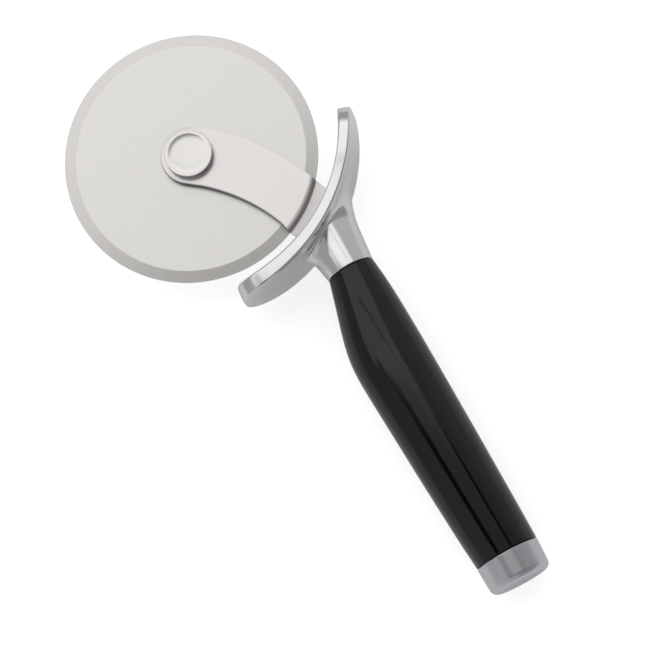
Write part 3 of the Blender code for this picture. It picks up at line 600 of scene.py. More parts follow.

# %% [markdown]
# ## Finish of the arm and the hub cap: brushed stainless sheet
#
# The arm is stamped from stainless sheet and brushed along its length. Brushing stretches the
# highlights across the lines and gives the sheet a quieter shine than the blade. The hub cap is
# pressed from the same sheet, but it is brushed while it turns, so its lines are rings. Where a
# surface turns sideways, a darker tone is mixed in as painted shade, for the gaps along the arm's
# edges, in its step and at the foot of the cap's wall. There the sheet is also a little rougher.

# %% Brushed stainless sheet
BRUSH_SPACING = 0.45 * MM
BRUSH_LENGTH = 14 * MM
RING_BRUSH_SPACING = 0.4 * MM
STRIP_DIRECTION = math.radians(24)

# Darker tones for steep faces: painted shade in the gaps beside the arm's edges, its step and the
# cap's wall.
ARM_PAINTED_SHADE = ("#6b6967", "#777573")
CAP_WALL_PAINTED_SHADE = ("#b4b2b0", "#bdbbb9")
EDGE_ROUGHNESS = (0.30, 0.38)
PAINTED_SHADE_STARTS = 0.90
PAINTED_SHADE_FULL = 0.40


def with_painted_shade(tree, tones, shade_tones, roughness):
    """Tones and roughness of brushed sheet, with painted shade and more roughness mixed in on steep
    faces.
    """
    facing = add_node(tree, "TexCoord", {}).outputs["Normal"]
    upwards = add_node(tree, "SeparateXYZ", {"Vector": facing}).outputs["Z"]
    upwards = add_node(tree, "Math", {0: upwards}, operation="ABSOLUTE")
    in_painted_shade = add_node(
        tree, "MapRange", {"Value": upwards, "From Min": PAINTED_SHADE_STARTS, "From Max": PAINTED_SHADE_FULL})
    mixed_tones = [
        add_node(tree, "Mix", {"Factor": in_painted_shade, "A": linear(sheet), "B": linear(edge)},
                 data_type="RGBA")
        for sheet, edge in zip(tones, shade_tones)
    ]
    mixed_roughness = [
        add_node(tree, "Mix", {"Factor": in_painted_shade, "A": sheet, "B": edge})
        for sheet, edge in zip(roughness, EDGE_ROUGHNESS)
    ]
    return mixed_tones, mixed_roughness


along_strip = HANDLE @ Matrix.Rotation(STRIP_DIRECTION, 4, "Z")
arm_steel, tree, local = start_finish("brushed_stainless_sheet", along_strip)
stretched = add_node(tree, "Mapping", {
    "Vector": local, "Scale": (1 / BRUSH_LENGTH, 1 / BRUSH_SPACING, 1 / BRUSH_SPACING),
})
brushing = add_node(tree, "TexNoise", {"Vector": stretched, "Scale": 1.0, "Detail": 3.0})
# The arm's steep faces get a dark painted shade, for the gaps along its edges and in its step.
tones, roughness = with_painted_shade(tree, ("#e7e4e2", "#f1eeec"), ARM_PAINTED_SHADE, (0.26, 0.33))
end_finish(
    tree, brushing, tones, roughness, pressed=brushing, depth=0.0015 * MM, fixed={"Metallic": 1.0})

cap_sheet, tree, local = start_finish("spin_brushed_stainless_sheet", WHEEL)
ring_lines, _ = rings_round_axle(tree, local, RING_BRUSH_SPACING, detail=2.0)
# The cap's side wall gets a darker painted shade, the crescent of shade round its foot.
tones, roughness = with_painted_shade(tree, ("#e0dddb", "#eae8e6"), CAP_WALL_PAINTED_SHADE, (0.18, 0.25))
end_finish(
    tree, ring_lines, tones, roughness, pressed=ring_lines, depth=0.0003 * MM,
    fixed={"Metallic": 1.0})
print("brushing lines every", BRUSH_SPACING / MM, "mm")

# %% [markdown]
# ## Arm
#
# The arm is one stamped strip: a round end under the hub cap, a curved band that narrows towards
# the handle, a step down beside the blade's edge and a tang inside the casting. Cutting it out of a
# turned plate with a boolean leaves long thin faces that shade badly. Here it grows from the
# hub's circle in rows of equal distance from the axle, so the step follows the blade by itself.

# %% The arm's outline in the handle's frame
ARM_TOP = 3.1 * MM
ARM_UNDERSIDE = 1.5 * MM
ARM_THICKNESS = 1.6 * MM
ARM_HUB_RADIUS = 10.1 * MM
LOWER_LEAVES_HUB = math.radians(-35)
UPPER_LEAVES_HUB = math.radians(148)
LOWER_MEETS_STRIP = math.radians(23.6)
UPPER_MEETS_STRIP = math.radians(49.8)
LOWER_ARRIVES = math.radians(16)
BAND_END_RADIUS = 44.6 * MM
STRIP_LENGTH = 8.4 * MM
LOWER_PULLS = (12 * MM, 14 * MM)
UPPER_PULLS = (16 * MM, 16 * MM)
HALVINGS = 40


def polar(radius, angle):
    """A flat vector from its length and direction."""
    return Vector((radius * math.cos(angle), radius * math.sin(angle), 0))


def curve_point(corners, share):
    """A point of a cubic curve from its four corners."""
    start, first, second, end = corners
    rest = 1 - share
    return (start * rest**3 + first * 3 * rest * rest * share
            + second * 3 * rest * share * share + end * share**3)


lower_start = polar(ARM_HUB_RADIUS, LOWER_LEAVES_HUB)
lower_end = polar(BAND_END_RADIUS, LOWER_MEETS_STRIP)
upper_start = polar(ARM_HUB_RADIUS, UPPER_LEAVES_HUB)
upper_end = polar(BAND_END_RADIUS, UPPER_MEETS_STRIP)
strip_way = polar(1, STRIP_DIRECTION)
LOWER_CURVE = (
    lower_start,
    lower_start + polar(LOWER_PULLS[0], LOWER_LEAVES_HUB + math.pi / 2),
    lower_end - polar(LOWER_PULLS[1], LOWER_ARRIVES),
    lower_end,
)
UPPER_CURVE = (
    upper_start,
    upper_start + polar(UPPER_PULLS[0], UPPER_LEAVES_HUB - math.pi / 2),
    upper_end - strip_way * UPPER_PULLS[1],
    upper_end,
)


def edge_point(curve, radius):
    """Where an edge of the arm, with the strip behind it, is at this distance from the axle."""
    low, high = 0.0, 2.0
    for _ in range(HALVINGS):
        middle = (low + high) / 2
        if middle <= 1:
            point = curve_point(curve, middle)
        else:
            point = curve[-1] + strip_way * (middle - 1) * STRIP_LENGTH
        if point.length < radius:
            low = middle
        else:
            high = middle
    return point


print("band is", round((upper_end - lower_end).length / MM, 1), "mm wide at its end")

# %% [markdown]
# The step could be bent into the arm afterwards, but a bend moves the outline too. Here the height of
# the sheet is worked out from the distance to the axle: flat over the blade, down the step outside
# its edge, and then along the sloping strip. Below, the sheet is relieved over the blade's bevel.

# %% Heights of the sheet over the blade
STEP_START = 43.1 * MM
STEP_END = 45.0 * MM
STEP_DROP = 1.8 * MM
STRIP_TILT = 0.072
STEP_POWER = 1.7
STEP_LEAD = 0.25
RELIEF_START = 41.5 * MM
RELIEF_END = 44.85 * MM
RELIEF_HEIGHT = 0.45 * MM


def sheet_top(radius):
    """Height of the sheet's upper face: flat, then down the step, then along the strip."""
    share = min(max((radius - STEP_START) / (STEP_END - STEP_START), 0), 1)
    slope = max(radius - STEP_END, 0) * STRIP_TILT
    return ARM_TOP - STEP_DROP * share**STEP_POWER * (1 + STEP_LEAD * (1 - share)) - slope


def sheet_underside(radius):
    """Height of its lower face, relieved over the blade's bevel."""
    if radius >= RELIEF_END:
        return sheet_top(radius) - ARM_THICKNESS
    share = min(max((radius - RELIEF_START) / (RELIEF_END - RELIEF_START), 0), 1)
    return ARM_UNDERSIDE + (RELIEF_HEIGHT - ARM_UNDERSIDE) * share


print("strip lies", round((sheet_top(ARM_HUB_RADIUS) - sheet_top(STEP_END)) / MM, 2), "mm lower")

# %% Rows of the arm
ARC_STEPS = 36
BACK_STEPS = 30
FLAT_ROWS = 20
BEFORE_STEP = 42.1 * MM
STEP_ROWS_START = STEP_START - 0.3 * MM
STEP_ROWS_APART = 0.19 * MM
STEP_ROWS = 13
AFTER_STEP = 45.4 * MM

flat_length = RELIEF_START - ARM_HUB_RADIUS
rows = [ARM_HUB_RADIUS + flat_length * index / FLAT_ROWS for index in range(1, FLAT_ROWS + 1)]
rows.append(BEFORE_STEP)
rows += [STEP_ROWS_START + STEP_ROWS_APART * index for index in range(STEP_ROWS)]
rows.append(AFTER_STEP)

upper_turn = UPPER_LEAVES_HUB - LOWER_LEAVES_HUB
hub_angles = [LOWER_LEAVES_HUB + upper_turn * index / ARC_STEPS for index in range(ARC_STEPS + 1)]
hub_angles += [
    UPPER_LEAVES_HUB + (2 * math.pi - upper_turn) * index / BACK_STEPS
    for index in range(1, BACK_STEPS)
]


def hub_ring(radius):
    """A round row of the hub end."""
    return [polar(radius, angle) + Vector((0, 0, ARM_TOP)) for angle in hub_angles]


def band_row(lower, upper, radius):
    """A row of the band on a circle about the axle, from its lower to its upper edge."""
    start = math.atan2(lower.y, lower.x)
    end = math.atan2(upper.y, upper.x)
    return [
        polar(radius, start + (end - start) * index / ARC_STEPS)
        + Vector((0, 0, sheet_top(radius)))
        for index in range(ARC_STEPS + 1)
    ]


def straight_row(lower, upper, level):
    """A straight row of the strip or the tang."""
    return [
        lower.lerp(upper, index / ARC_STEPS).xy.to_3d() + Vector((0, 0, level))
        for index in range(ARC_STEPS + 1)
    ]


print("rows in the band:", len(rows))

# %% [markdown]
# The arm, the casting and the grip have sections that change along their length. Such a piece starts
# as a circle. What is selected of it is extruded ring by ring, and each new ring is moved into its
# section. Each corner keeps its number in the ring, so it always knows where to go.

# %% Grow a skin ring by ring
def first_ring(name, corners):
    """Start a skin as a circle, with its corners set on the first section."""
    bpy.ops.object.select_all(action="DESELECT")
    bpy.ops.mesh.primitive_circle_add(vertices=len(corners), radius=MM)
    piece = bpy.context.object
    piece.name = name
    bpy.ops.object.mode_set(mode="EDIT")
    bpy.ops.mesh.select_mode(type="VERT")
    bpy.ops.mesh.select_all(action="SELECT")
    mesh = bmesh.from_edit_mesh(piece.data)
    number = mesh.verts.layers.int.new("number_in_ring")
    for index, corner in enumerate(mesh.verts):
        corner[number] = index
        corner.co = corners[index]
    bmesh.update_edit_mesh(piece.data)
    return piece


def next_ring(piece, corners):
    """Extrude what is selected, and move each new corner to its place in the next section."""
    bpy.ops.mesh.extrude_region_move()
    mesh = bmesh.from_edit_mesh(piece.data)
    number = mesh.verts.layers.int["number_in_ring"]
    for corner in mesh.verts:
        if corner.select:
            corner.co = corners[corner[number]]
    bmesh.update_edit_mesh(piece.data, loop_triangles=False, destructive=False)


def close_skin(piece):
    """Merge seams and poles, and turn all faces outwards."""
    bpy.ops.mesh.select_all(action="SELECT")
    bpy.ops.mesh.remove_doubles(threshold=MERGE_DISTANCE)
    bpy.ops.mesh.normals_make_consistent(inside=False)
    bpy.ops.object.mode_set(mode="OBJECT")


# %% Grow the arm from its hub
AXLE_HOLE = 3.3 * MM
HUB_MIDDLE = 0.75 * ARM_HUB_RADIUS
TANG_HALF_WIDTH = 3.5 * MM
TANG_START = -15.0 * MM
TANG_END = 8.5 * MM

arm = first_ring("stamped_arm", hub_ring(AXLE_HOLE))
next_ring(arm, hub_ring(HUB_MIDDLE))
next_ring(arm, hub_ring(ARM_HUB_RADIUS))
mesh = bmesh.from_edit_mesh(arm.data)
number = mesh.verts.layers.int["number_in_ring"]
for corner in mesh.verts:
    corner.select = corner.select and corner[number] <= ARC_STEPS
mesh.select_flush(False)
for radius in rows:
    next_ring(arm, band_row(edge_point(LOWER_CURVE, radius), edge_point(UPPER_CURVE, radius), radius))

lower_corner = lower_end + strip_way * STRIP_LENGTH
upper_corner = upper_end + strip_way * STRIP_LENGTH
strip_level = sheet_top(lower_corner.length)
next_ring(arm, straight_row(lower_corner, upper_corner, strip_level))
for place in (TANG_START, TANG_END):
    ends = [Vector((place, side, 0)) - WHEEL_CENTRE for side in (-TANG_HALF_WIDTH, TANG_HALF_WIDTH)]
    next_ring(arm, straight_row(*ends, sheet_top(STEP_END)))
print("strip ends", round(lower_corner.length / MM, 1), "mm from the axle")

# %% Give the arm its thickness
LEVEL_TOLERANCE = 0.001 * MM
LAST_STEP_ROWS = (STEP_START + 1.7 * MM, STEP_END + 0.1 * MM)
TURNS_DOWN = STEP_END - 0.15 * MM

tang_level = sheet_top(STEP_END)
bpy.ops.mesh.select_all(action="SELECT")
bpy.ops.mesh.extrude_region_move(TRANSFORM_OT_translate={"value": (0, 0, -ARM_THICKNESS)})
mesh = bmesh.from_edit_mesh(arm.data)
for corner in mesh.verts:
    radius = corner.co.xy.length
    above = corner.co.z + ARM_THICKNESS
    on_tang = abs(above - tang_level) < LEVEL_TOLERANCE and radius > STEP_END
    if on_tang or not corner.select:
        continue
    if LAST_STEP_ROWS[0] < radius < LAST_STEP_ROWS[1]:
        corner.co.xy = corner.co.xy.normalized() * RELIEF_END
        corner.co.z = RELIEF_HEIGHT if radius < TURNS_DOWN else tang_level - ARM_THICKNESS
    else:
        corner.co.z = sheet_underside(radius)
bmesh.update_edit_mesh(arm.data)
close_skin(arm)
print("arm is", ARM_THICKNESS / MM, "mm thick")

# %% [markdown]
# Stamping rolls the outline of one face over a little and leaves the other face crisp. The upper face
# is the rounded one, round the hub and along its lower edge. Its other edge looks crisp in the
# photograph and stays so. A weight on the edges tells the bevel which ones are meant.

# %% Round the outline of the upper face
EDGE_ROUND = 0.4 * MM
LEVEL_ENOUGH = 0.45
UPRIGHT_ENOUGH = 0.2
NEAR_RIM = 0.9 * ARM_HUB_RADIUS
CRISP_FROM = math.radians(40)
CRISP_TO = math.radians(149)

select_only(arm)
bpy.ops.object.mode_set(mode="EDIT")
bpy.ops.mesh.select_mode(type="EDGE")
bpy.ops.mesh.select_all(action="DESELECT")
mesh = bmesh.from_edit_mesh(arm.data)
for edge in mesh.edges:
    slopes = sorted(face.normal.z for face in edge.link_faces)
    is_rim = abs(slopes[0]) < UPRIGHT_ENOUGH and slopes[-1] > LEVEL_ENOUGH
    radii = [corner.co.xy.length for corner in edge.verts]
    in_reach = min(radii) > NEAR_RIM and max(radii) < RELIEF_START
    bearings = [math.atan2(corner.co.y, corner.co.x) for corner in edge.verts]
    is_crisp = CRISP_FROM < min(bearings) and max(bearings) < CRISP_TO
    edge.select = is_rim and in_reach and not is_crisp
print("edges to round:", sum(edge.select for edge in mesh.edges))
bmesh.update_edit_mesh(arm.data)
bpy.ops.transform.edge_bevelweight(value=1)
bpy.ops.object.mode_set(mode="OBJECT")
modify(arm, "BEVEL", width=EDGE_ROUND, segments=4, limit_method="WEIGHT", use_clamp_overlap=False)
settle(arm, WHEEL, "handle", "side_arm", arm_steel, sharp_degrees=35)

# %% [markdown]
# ## Hub cap
#
# The cap over the axle's end is a low button with a rounded rim and a dished face. A scaled
# sphere would never give the narrow rim, so its section is drawn and spun too. The dish is shallow,
# and its wall runs out softly: it shows as a crescent, dark at the rim, that fades to the middle.

# %% Model the hub cap
CAP_BASE = 3.4 * MM
CAP_TOP = 6.2 * MM
CAP_BASE_RADIUS = 8.0 * MM
CAP_TOP_RADIUS = 8.35 * MM
CAP_ROUND = 0.25 * MM
CAP_CHAMFER = 0.1 * MM
CAP_RIM = 0.9 * MM
DISH_DEPTH = 0.30 * MM
DISH = (
    (0, 0), (0.12, 0.04), (0.30, 0.16), (0.55, 0.33), (0.90, 0.52), (1.30, 0.67),
    (1.80, 0.79), (2.40, 0.88), (3.20, 0.95), (4.20, 0.99),
)
SOCKET_RADIUS = 3.3 * MM
SOCKET_FLOOR = 5.0 * MM

rim_end = CAP_TOP_RADIUS - CAP_ROUND - CAP_RIM
cap_section = [
    (0, SOCKET_FLOOR),
    (SOCKET_RADIUS, SOCKET_FLOOR),
    (SOCKET_RADIUS, CAP_BASE),
    (CAP_BASE_RADIUS - CAP_CHAMFER, CAP_BASE),
    (CAP_BASE_RADIUS, CAP_BASE + CAP_CHAMFER),
    *rounded(CAP_TOP_RADIUS - CAP_ROUND, CAP_TOP - CAP_ROUND, CAP_ROUND, 0, 90, steps=8),
    *[(rim_end - inwards * MM, CAP_TOP - down * DISH_DEPTH) for inwards, down in DISH],
    (0, CAP_TOP - DISH_DEPTH),
]
hub_cap = spun("dished_hub_cap", cap_section, steps=128)
settle(hub_cap, WHEEL, "handle", "hub_cap", cap_sheet, sharp_degrees=40)

# %% [markdown]
# ## Finish of the casting: satin-plated zinc alloy
#
# Guard, neck and ferrule are cast in one, polished and plated with satin chrome or nickel. The
# polish leaves the broad faces smooth enough for soft reflections, and the plating gives a cooler
# white than the stainless steel beside it. A trace of cloudiness stays from the hand polishing,
# which changes the roughness a little from place to place.

# %% Satin-plated casting
POLISH_SIZE = 7 * MM
PIT_SIZE = 0.6 * MM

cast_metal, tree, local = start_finish("satin_plated_zinc_casting", HANDLE)
polish = add_node(tree, "TexNoise", {
    "Vector": local, "Scale": 1 / POLISH_SIZE, "Detail": 5.0, "Roughness": 0.6,
})
pits = add_node(tree, "TexNoise", {"Vector": local, "Scale": 1 / PIT_SIZE, "Detail": 2.0})
both = add_node(tree, "Mix", {"Factor": 0.5, "A": polish, "B": pits})
end_finish(
    tree, both, (linear("#dedede"), linear("#eaeae9")), roughness=(0.13, 0.20), pressed=pits,
    depth=0.001 * MM, fixed={"Metallic": 1.0})
print("polishing clouds of about", POLISH_SIZE / MM, "mm")

# %% [markdown]
# ## Guard, neck and ferrule
#
# The casting is the piece with the most shape: a squarish plate bent round the blade, a neck that
# runs out on its back in a wide fillet, and a round ferrule. Joining separate solids with booleans
# never gives such a fillet. One skin of rings does: it starts at the threaded hole, runs over the
# spigot and the ferrule, down the fillet, over the back of the guard, round its rim and across its
# hollow side to the middle. The plate isn't even: it is thicker at its two ends, its back leans,
# and one corner at its lower end is rounder than the other three.

# %% Points of the guard
GUARD_INNER_RADIUS = 61.2 * MM
GUARD_THICKNESS = 4.15 * MM
GUARD_OUTER_RADIUS = GUARD_INNER_RADIUS + GUARD_THICKNESS
GUARD_HALF_LENGTH = 41.6 * MM
GUARD_HALF_DEPTH = 16.4 * MM
GUARD_SQUARENESS = 3.9
GUARD_LOWER_FAR_SQUARENESS = 2.8
GUARD_EDGE_ROUND = 0.8 * MM
GUARD_TURN = math.radians(30.7)
GUARD_BEFORE_FERRULE = 16.05 * MM
GUARD_SHIFT = 2.55 * MM
GUARD_END_SWELL = 0.3
GUARD_BACK_LEAN = 0.55 * MM
GUARD_ARC_CENTRE = Vector((-GUARD_BEFORE_FERRULE, 0, 0)) - polar(GUARD_OUTER_RADIUS, GUARD_TURN)


def on_guard(along, height, depth):
    """A point on the guard: along its arc, over its middle, and sunk below its back."""
    angle = GUARD_TURN + along / GUARD_OUTER_RADIUS
    to_end = along / GUARD_HALF_LENGTH
    lean = GUARD_BACK_LEAN * to_end * (1 + height / GUARD_HALF_DEPTH) * (1 - depth / GUARD_THICKNESS)
    radius = GUARD_OUTER_RADIUS - depth * (1 + GUARD_END_SWELL * to_end**2) - lean
    return GUARD_ARC_CENTRE + polar(radius, angle) + Vector((0, 0, height))


def guard_outline(angle, inset):
    """Edge of the guard's squarish planform, moved inwards by an inset."""
    side, face = math.cos(angle), math.sin(angle)
    lower_far = side < 0 and face < 0
    squareness = GUARD_LOWER_FAR_SQUARENESS if lower_far else GUARD_SQUARENESS
    reach = (abs(side) ** squareness + abs(face) ** squareness) ** (-1 / squareness)
    normal = Vector((
        math.copysign(abs(side) ** (squareness - 1), side) / GUARD_HALF_LENGTH,
        math.copysign(abs(face) ** (squareness - 1), face) / GUARD_HALF_DEPTH,
    )).normalized()
    return (GUARD_SHIFT + GUARD_HALF_LENGTH * reach * side - normal.x * inset,
            GUARD_HALF_DEPTH * reach * face - normal.y * inset)


print("guard plate is", 2 * GUARD_HALF_LENGTH / MM, "mm long along its arc")

# %% [markdown]
# The fillet of the neck is much wider on the two long sides than on the faces, and a bevel would give
# it one size all round. So each direction gets a curve of its own, from the ferrule to a foot on the
# back of the guard. Its control point lies where the two would meet in a sharp corner.

# %% Points of the neck and its fillet
FERRULE_RADIUS = 8.5 * MM
FERRULE_EDGE = 0.3 * MM
NECK_HALF_WIDTH = 12.6 * MM
NECK_CROWN_HALF_WIDTH = 9.9 * MM
NECK_HALF_DEPTH = 8.4 * MM
NECK_SHIFT = 0.8 * MM
NECK_CROWN_SHIFT = -0.6 * MM
SIDE_FILLET_SHARE = 0.5
FACE_FILLET_SHARE = 0.06


def neck_fillet(angle):
    """Start, control point and foot of the fillet, and where the foot is on the guard."""
    side, face = math.cos(angle), math.sin(angle)
    ferrule = Vector((-FERRULE_EDGE, FERRULE_RADIUS * side, FERRULE_RADIUS * face))
    widening = (NECK_HALF_WIDTH - NECK_CROWN_HALF_WIDTH) * side * side
    shift = NECK_SHIFT * side * side + NECK_CROWN_SHIFT * face * face
    root_along = shift + (NECK_CROWN_HALF_WIDTH + widening) * side
    root_height = NECK_HALF_DEPTH * face
    root = on_guard(root_along, root_height, 0)
    share = SIDE_FILLET_SHARE * side * side + FACE_FILLET_SHARE * face * face
    size = (root - ferrule).length * share
    foot_place = (root_along + size * side, root_height + size * face)
    foot = on_guard(*foot_place, 0)
    normal = polar(1, GUARD_TURN + foot_place[0] / GUARD_OUTER_RADIUS)
    reach = (foot - ferrule).dot(normal) / (root - ferrule).dot(normal)
    control = ferrule + (root - ferrule) * reach
    start = control + (ferrule - control) * share
    return ferrule, start, control, foot, foot_place


print("fillet starts at", round(neck_fillet(0)[1].x / MM, 1), "mm on the long side")

# %% Rings from the spigot to the foot of the fillet
CASTING_STEPS = 224
FILLET_STEPS = 20
SPIGOT_RADIUS = 6.0 * MM
SPIGOT_LENGTH = 24.0 * MM
SPIGOT_CHAMFER = 0.6 * MM
THREAD_RADIUS = 2.8 * MM
THREAD_START = 12.0 * MM
MIDDLE_OF_ROUND = 0.3
FERRULE_ROWS = (0, 0.33, 0.67)

casting_angles = [2 * math.pi * index / CASTING_STEPS for index in range(CASTING_STEPS)]


def round_ring(place, radius, angles):
    """A round ring across the handle."""
    return [Vector((place, radius * math.cos(angle), radius * math.sin(angle))) for angle in angles]


spigot_rings = [
    (THREAD_START, 0.0), (THREAD_START, THREAD_RADIUS), (SPIGOT_LENGTH, THREAD_RADIUS),
    (SPIGOT_LENGTH, SPIGOT_RADIUS - SPIGOT_CHAMFER), (SPIGOT_LENGTH - SPIGOT_CHAMFER, SPIGOT_RADIUS),
    (0, SPIGOT_RADIUS), (0, FERRULE_RADIUS - FERRULE_EDGE),
    (-FERRULE_EDGE * MIDDLE_OF_ROUND, FERRULE_RADIUS - FERRULE_EDGE * MIDDLE_OF_ROUND),
]
rings = [round_ring(place, radius, casting_angles) for place, radius in spigot_rings]
fillets = [neck_fillet(angle) for angle in casting_angles]
for share in FERRULE_ROWS:
    rings.append([ferrule.lerp(start, share) for ferrule, start, *_ in fillets])
for index in range(FILLET_STEPS + 1):
    rest = 1 - index / FILLET_STEPS
    rings.append([
        start * rest**2 + control * 2 * rest * (1 - rest) + foot * (1 - rest) ** 2
        for _, start, control, foot, _ in fillets
    ])
print("rings down to the guard:", len(rings))

# %% Rings over the guard
BACK_ROWS = 8
RIM_STEPS = 8
HOLLOW_ROWS = 12


def quarter_round(size, steps):
    """Steps from a face to its side round the edge: how far inside the outline, and how deep."""
    turns = [math.pi / 2 * index / steps for index in range(steps + 1)]
    return [(size * (1 - math.sin(angle)), size * (1 - math.cos(angle))) for angle in turns]


feet = [fillet[-1] for fillet in fillets]
flat_edges = [guard_outline(angle, GUARD_EDGE_ROUND) for angle in casting_angles]
for index in range(1, BACK_ROWS):
    share = index / BACK_ROWS
    rings.append([
        on_guard(foot[0] + (edge[0] - foot[0]) * share, foot[1] + (edge[1] - foot[1]) * share, 0)
        for foot, edge in zip(feet, flat_edges)
    ])
edge_steps = quarter_round(GUARD_EDGE_ROUND, RIM_STEPS)
rim = edge_steps + [(inset, GUARD_THICKNESS - depth) for inset, depth in reversed(edge_steps)]
for inset, depth in rim:
    rings.append([on_guard(*guard_outline(angle, inset), depth) for angle in casting_angles])
for index in range(1, HOLLOW_ROWS + 1):
    share = 1 - index / HOLLOW_ROWS
    rings.append([
        on_guard(edge[0] * share, edge[1] * share, GUARD_THICKNESS) for edge in flat_edges
    ])
print("rings in the casting:", len(rings))

# %% Grow the casting
casting = first_ring("cast_guard_neck_ferrule", rings[0])
for ring in rings[1:]:
    next_ring(casting, ring)
close_skin(casting)
settle(
    casting, HANDLE, "handle", "guard_and_neck", cast_metal, sharp_degrees=60)

# %% [markdown]
# ## Finish of the grip: glossy black plastic
#
# The grip is injection moulded, in a plastic such as ABS or acetal, in a polished mould. It is
# nearly black, so all that is seen is the room reflected in it. A mould is never perfectly even: a
# very shallow waviness, like the skin of an orange, makes the edges of the reflections a little
# soft. The index of refraction is 1.46, a little below that of acetal, which reflects 3.5 % of the
# light that falls straight on it.

# %% Glossy black plastic
PLASTIC_IOR = 1.46
PEEL_SIZE = 3.0 * MM
HANDLING_SIZE = 18 * MM

grip_plastic, tree, local = start_finish("moulded_black_plastic_gloss", HANDLE)
peel = add_node(tree, "TexNoise", {"Vector": local, "Scale": 1 / PEEL_SIZE, "Detail": 2.0})
handling = add_node(tree, "TexNoise", {"Vector": local, "Scale": 1 / HANDLING_SIZE, "Detail": 5.0})
end_finish(
    tree, handling, (linear("#0e0d10"), linear("#121115")), roughness=(0.06, 0.11), pressed=peel,
    depth=0.0015 * MM, fixed={"IOR": PLASTIC_IOR})
print("orange peel of", PEEL_SIZE / MM, "mm")

# %% [markdown]
# ## Grip
#
# The grip is round at both ends and has a belly on the finger side. Its section is an ellipse, and
# the middle of the ellipse moves to the finger side where the belly is. The long outline is read
# from the photograph as a few shares of the length, with a smooth curve through them. The ring
# method is used again, because no single primitive has such a shape.

# %% Sections of the grip
CLEARANCE = 0.3 * MM
GRIP_START = CLEARANCE
GRIP_END = 110.4 * MM
GRIP_EDGE = 0.35 * MM
GRIP_BELLY = 6.35 * MM
GRIP_FULLNESS = 1.8 * MM
GRIP_END_RADIUS = 11.2 * MM
LENGTH_SHARES = (0, 0.075, 0.15, 0.21, 0.265, 0.32, 0.40, 0.52, 0.66, 0.80, 0.92, 1)
BACK_RISE = (0, 0.32, 0.50, 0.59, 0.66, 0.71, 0.77, 0.84, 0.91, 0.96, 0.99, 1)
BELLY = (0, 0.31, 0.635, 0.86, 0.98, 0.99, 0.90, 0.735, 0.545, 0.34, 0.15, 0)


def between(values, place):
    """A smooth curve through a row of values, read at one share of the length."""
    last = len(LENGTH_SHARES) - 1
    index = min(max(sum(share <= place for share in LENGTH_SHARES) - 1, 0), last - 1)
    low, high = LENGTH_SHARES[index], LENGTH_SHARES[index + 1]
    span = high - low
    way = (place - low) / span

    def slope(at):
        before, after = max(at - 1, 0), min(at + 1, last)
        return (values[after] - values[before]) / (LENGTH_SHARES[after] - LENGTH_SHARES[before])

    return (
        values[index] * (2 * way**3 - 3 * way**2 + 1)
        + slope(index) * span * (way**3 - 2 * way**2 + way)
        + values[index + 1] * (3 * way**2 - 2 * way**3)
        + slope(index + 1) * span * (way**3 - way**2)
    )


def grip_ring(place, share, inset, angles):
    """One section of the grip: an ellipse whose middle lies beside the axis."""
    rise = between(BACK_RISE, share)
    swell = between(BELLY, share)
    taper = GRIP_END_RADIUS - FERRULE_RADIUS
    back = FERRULE_RADIUS + taper * rise - inset
    belly = FERRULE_RADIUS + taper * share + GRIP_BELLY * swell - inset
    depth = FERRULE_RADIUS + taper * rise + GRIP_FULLNESS * swell - inset
    middle, half_width = (back - belly) / 2, (back + belly) / 2
    return [
        Vector((place, middle + half_width * math.cos(angle), depth * math.sin(angle)))
        for angle in angles
    ]


print("belly stands", GRIP_BELLY * max(BELLY) / MM, "mm out of the taper")

# %% [markdown]
# The skin of the grip closes on itself. It runs over the outside, over a plug that the end cap sits
# on, and back inside: through the well for the nut, the bore for the rod and the spigot's socket.

# %% Grow the grip
GRIP_STEPS = 144
GRIP_STATIONS = 120
EDGE_STEPS = 4
PLUG_END = 115.4 * MM
PLUG_RADIUS = 9.4 * MM
NUT_WELL_FLOOR = 108.9 * MM
NUT_WELL_RADIUS = 6.9 * MM
ROD_BORE_RADIUS = 2.8 * MM
SOCKET_END = SPIGOT_LENGTH + CLEARANCE

grip_angles = [2 * math.pi * index / GRIP_STEPS for index in range(GRIP_STEPS)]
skin_start = GRIP_START + GRIP_EDGE
skin_length = GRIP_END - GRIP_EDGE - skin_start
edge_steps = quarter_round(GRIP_EDGE, EDGE_STEPS)[:-1]
rings = [grip_ring(GRIP_START + depth, 0, inset, grip_angles) for inset, depth in edge_steps]
for index in range(GRIP_STATIONS + 1):
    share = index / GRIP_STATIONS
    rings.append(grip_ring(skin_start + skin_length * share, share, 0, grip_angles))
rings += [
    grip_ring(GRIP_END - depth, 1, inset, grip_angles) for inset, depth in reversed(edge_steps)
]
inside = [
    (GRIP_END, PLUG_RADIUS), (PLUG_END, PLUG_RADIUS), (PLUG_END, NUT_WELL_RADIUS),
    (NUT_WELL_FLOOR, NUT_WELL_RADIUS), (NUT_WELL_FLOOR, ROD_BORE_RADIUS),
    (SOCKET_END, ROD_BORE_RADIUS), (SOCKET_END, SPIGOT_RADIUS + CLEARANCE),
    (GRIP_START, SPIGOT_RADIUS + CLEARANCE),
]
rings += [round_ring(place, radius, grip_angles) for place, radius in inside]
rings.append(rings[0])
grip = first_ring("moulded_grip", rings[0])
for ring in rings[1:]:
    next_ring(grip, ring)
close_skin(grip)
settle(grip, HANDLE, "handle", "handle_grip", grip_plastic, sharp_degrees=60)

# %% [markdown]
# ## End cap: drawn stainless cup with a satin finish
#
# The cap is deep drawn from stainless sheet and brushed while it turns, so the lines run round
# it. It lies under the dim end of the room, and looks darker than the guard although the metal is
# nearly the same. The section has a wide rounding at the closed end and a small one at the
# open edge, which leaves a thin bright line against the black grip.

# %% Satin drawn cup
CUP_LINE_SPACING = 0.35 * MM

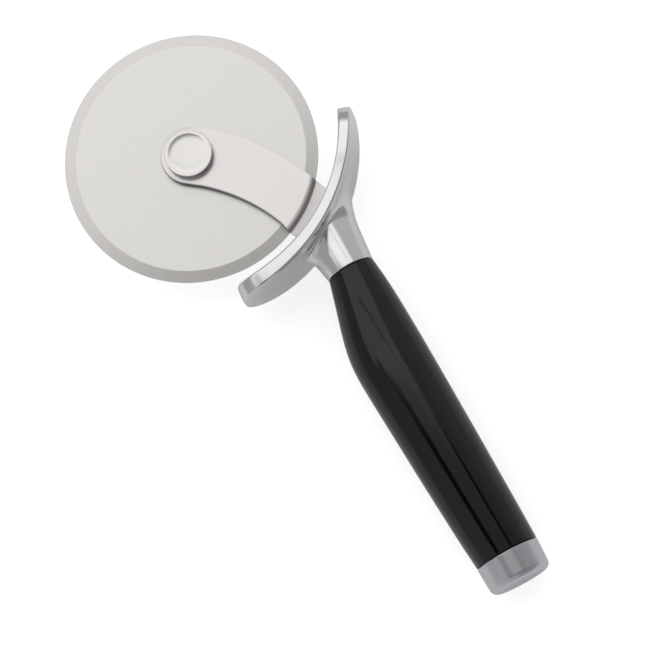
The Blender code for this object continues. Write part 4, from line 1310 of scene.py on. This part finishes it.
cup_steel, tree, local = start_finish("drawn_stainless_cup_satin", HANDLE)
apart = add_node(tree, "SeparateXYZ", {"Vector": local})
around = add_node(tree, "TexNoise", {
    "W": apart.outputs["X"], "Scale": 1 / CUP_LINE_SPACING, "Detail": 3.0,
}, noise_dimensions="1D")
end_finish(
    tree, around, (linear("#c6c7c9"), linear("#d7d8da")), roughness=(0.26, 0.36), pressed=around,
    depth=0.0015 * MM, fixed={"Metallic": 1.0})
print("brushing lines every", CUP_LINE_SPACING / MM, "mm")

# %% Model the end cap
CUP_START = 110.7 * MM
CUP_END = 121.0 * MM
CUP_RADIUS = GRIP_END_RADIUS
CUP_END_RADIUS = 10.9 * MM
CUP_CORNER = 2.5 * MM
CUP_LIP = 0.35 * MM
CUP_WALL = 1.4 * MM
CUP_INSIDE = 9.7 * MM
CUP_INSIDE_CORNER = 0.7 * MM

cup_section = [
    (0, CUP_END - CUP_WALL),
    (CUP_INSIDE - CUP_INSIDE_CORNER, CUP_END - CUP_WALL),
    (CUP_INSIDE, CUP_END - CUP_WALL - CUP_INSIDE_CORNER),
    (CUP_INSIDE, CUP_START),
    *rounded(CUP_RADIUS - CUP_LIP, CUP_START + CUP_LIP, CUP_LIP, -90, 0, steps=5),
    *rounded(CUP_END_RADIUS - CUP_CORNER, CUP_END - CUP_CORNER, CUP_CORNER, 0, 90, steps=12),
    (0, CUP_END),
]
end_cup = spun("drawn_end_cap", cup_section, steps=144)
along_handle = HANDLE @ Matrix.Rotation(math.pi / 2, 4, "Y")
settle(
    end_cup, along_handle, "handle", "end_cap", cup_steel, sharp_degrees=40)

# %% [markdown]
# ## Finish of the hidden fixings
#
# The pin, the tie rod, the washer and the nut are zinc plated, with the bluish, slightly cloudy
# shine of a clear passivated coat. The bushing in the blade is the same nylon as the washers. These
# solids are right as they are, so they only get their finish.

# %% Zinc plate on the fixings
BLOOM_SIZE = 2 * MM
FIXINGS = ("tang_pin", "tie_rod", "clamp_washer", "clamp_nut")

zinc, tree, local = start_finish("zinc_plated_steel", HANDLE)
bloom = add_node(tree, "TexNoise", {"Vector": local, "Scale": 1 / BLOOM_SIZE, "Detail": 4.0})
end_finish(
    tree, bloom, (linear("#9ea3a8"), linear("#b5b9bb")), roughness=(0.32, 0.46), pressed=bloom,
    depth=0.002 * MM, fixed={"Metallic": 1.0})
for node in FIXINGS:
    frame["nodes"][node].material_slots[0].material = zinc
frame["nodes"]["wheel_bushing"].material_slots[0].material = nylon
print("zinc plate on", ", ".join(FIXINGS))
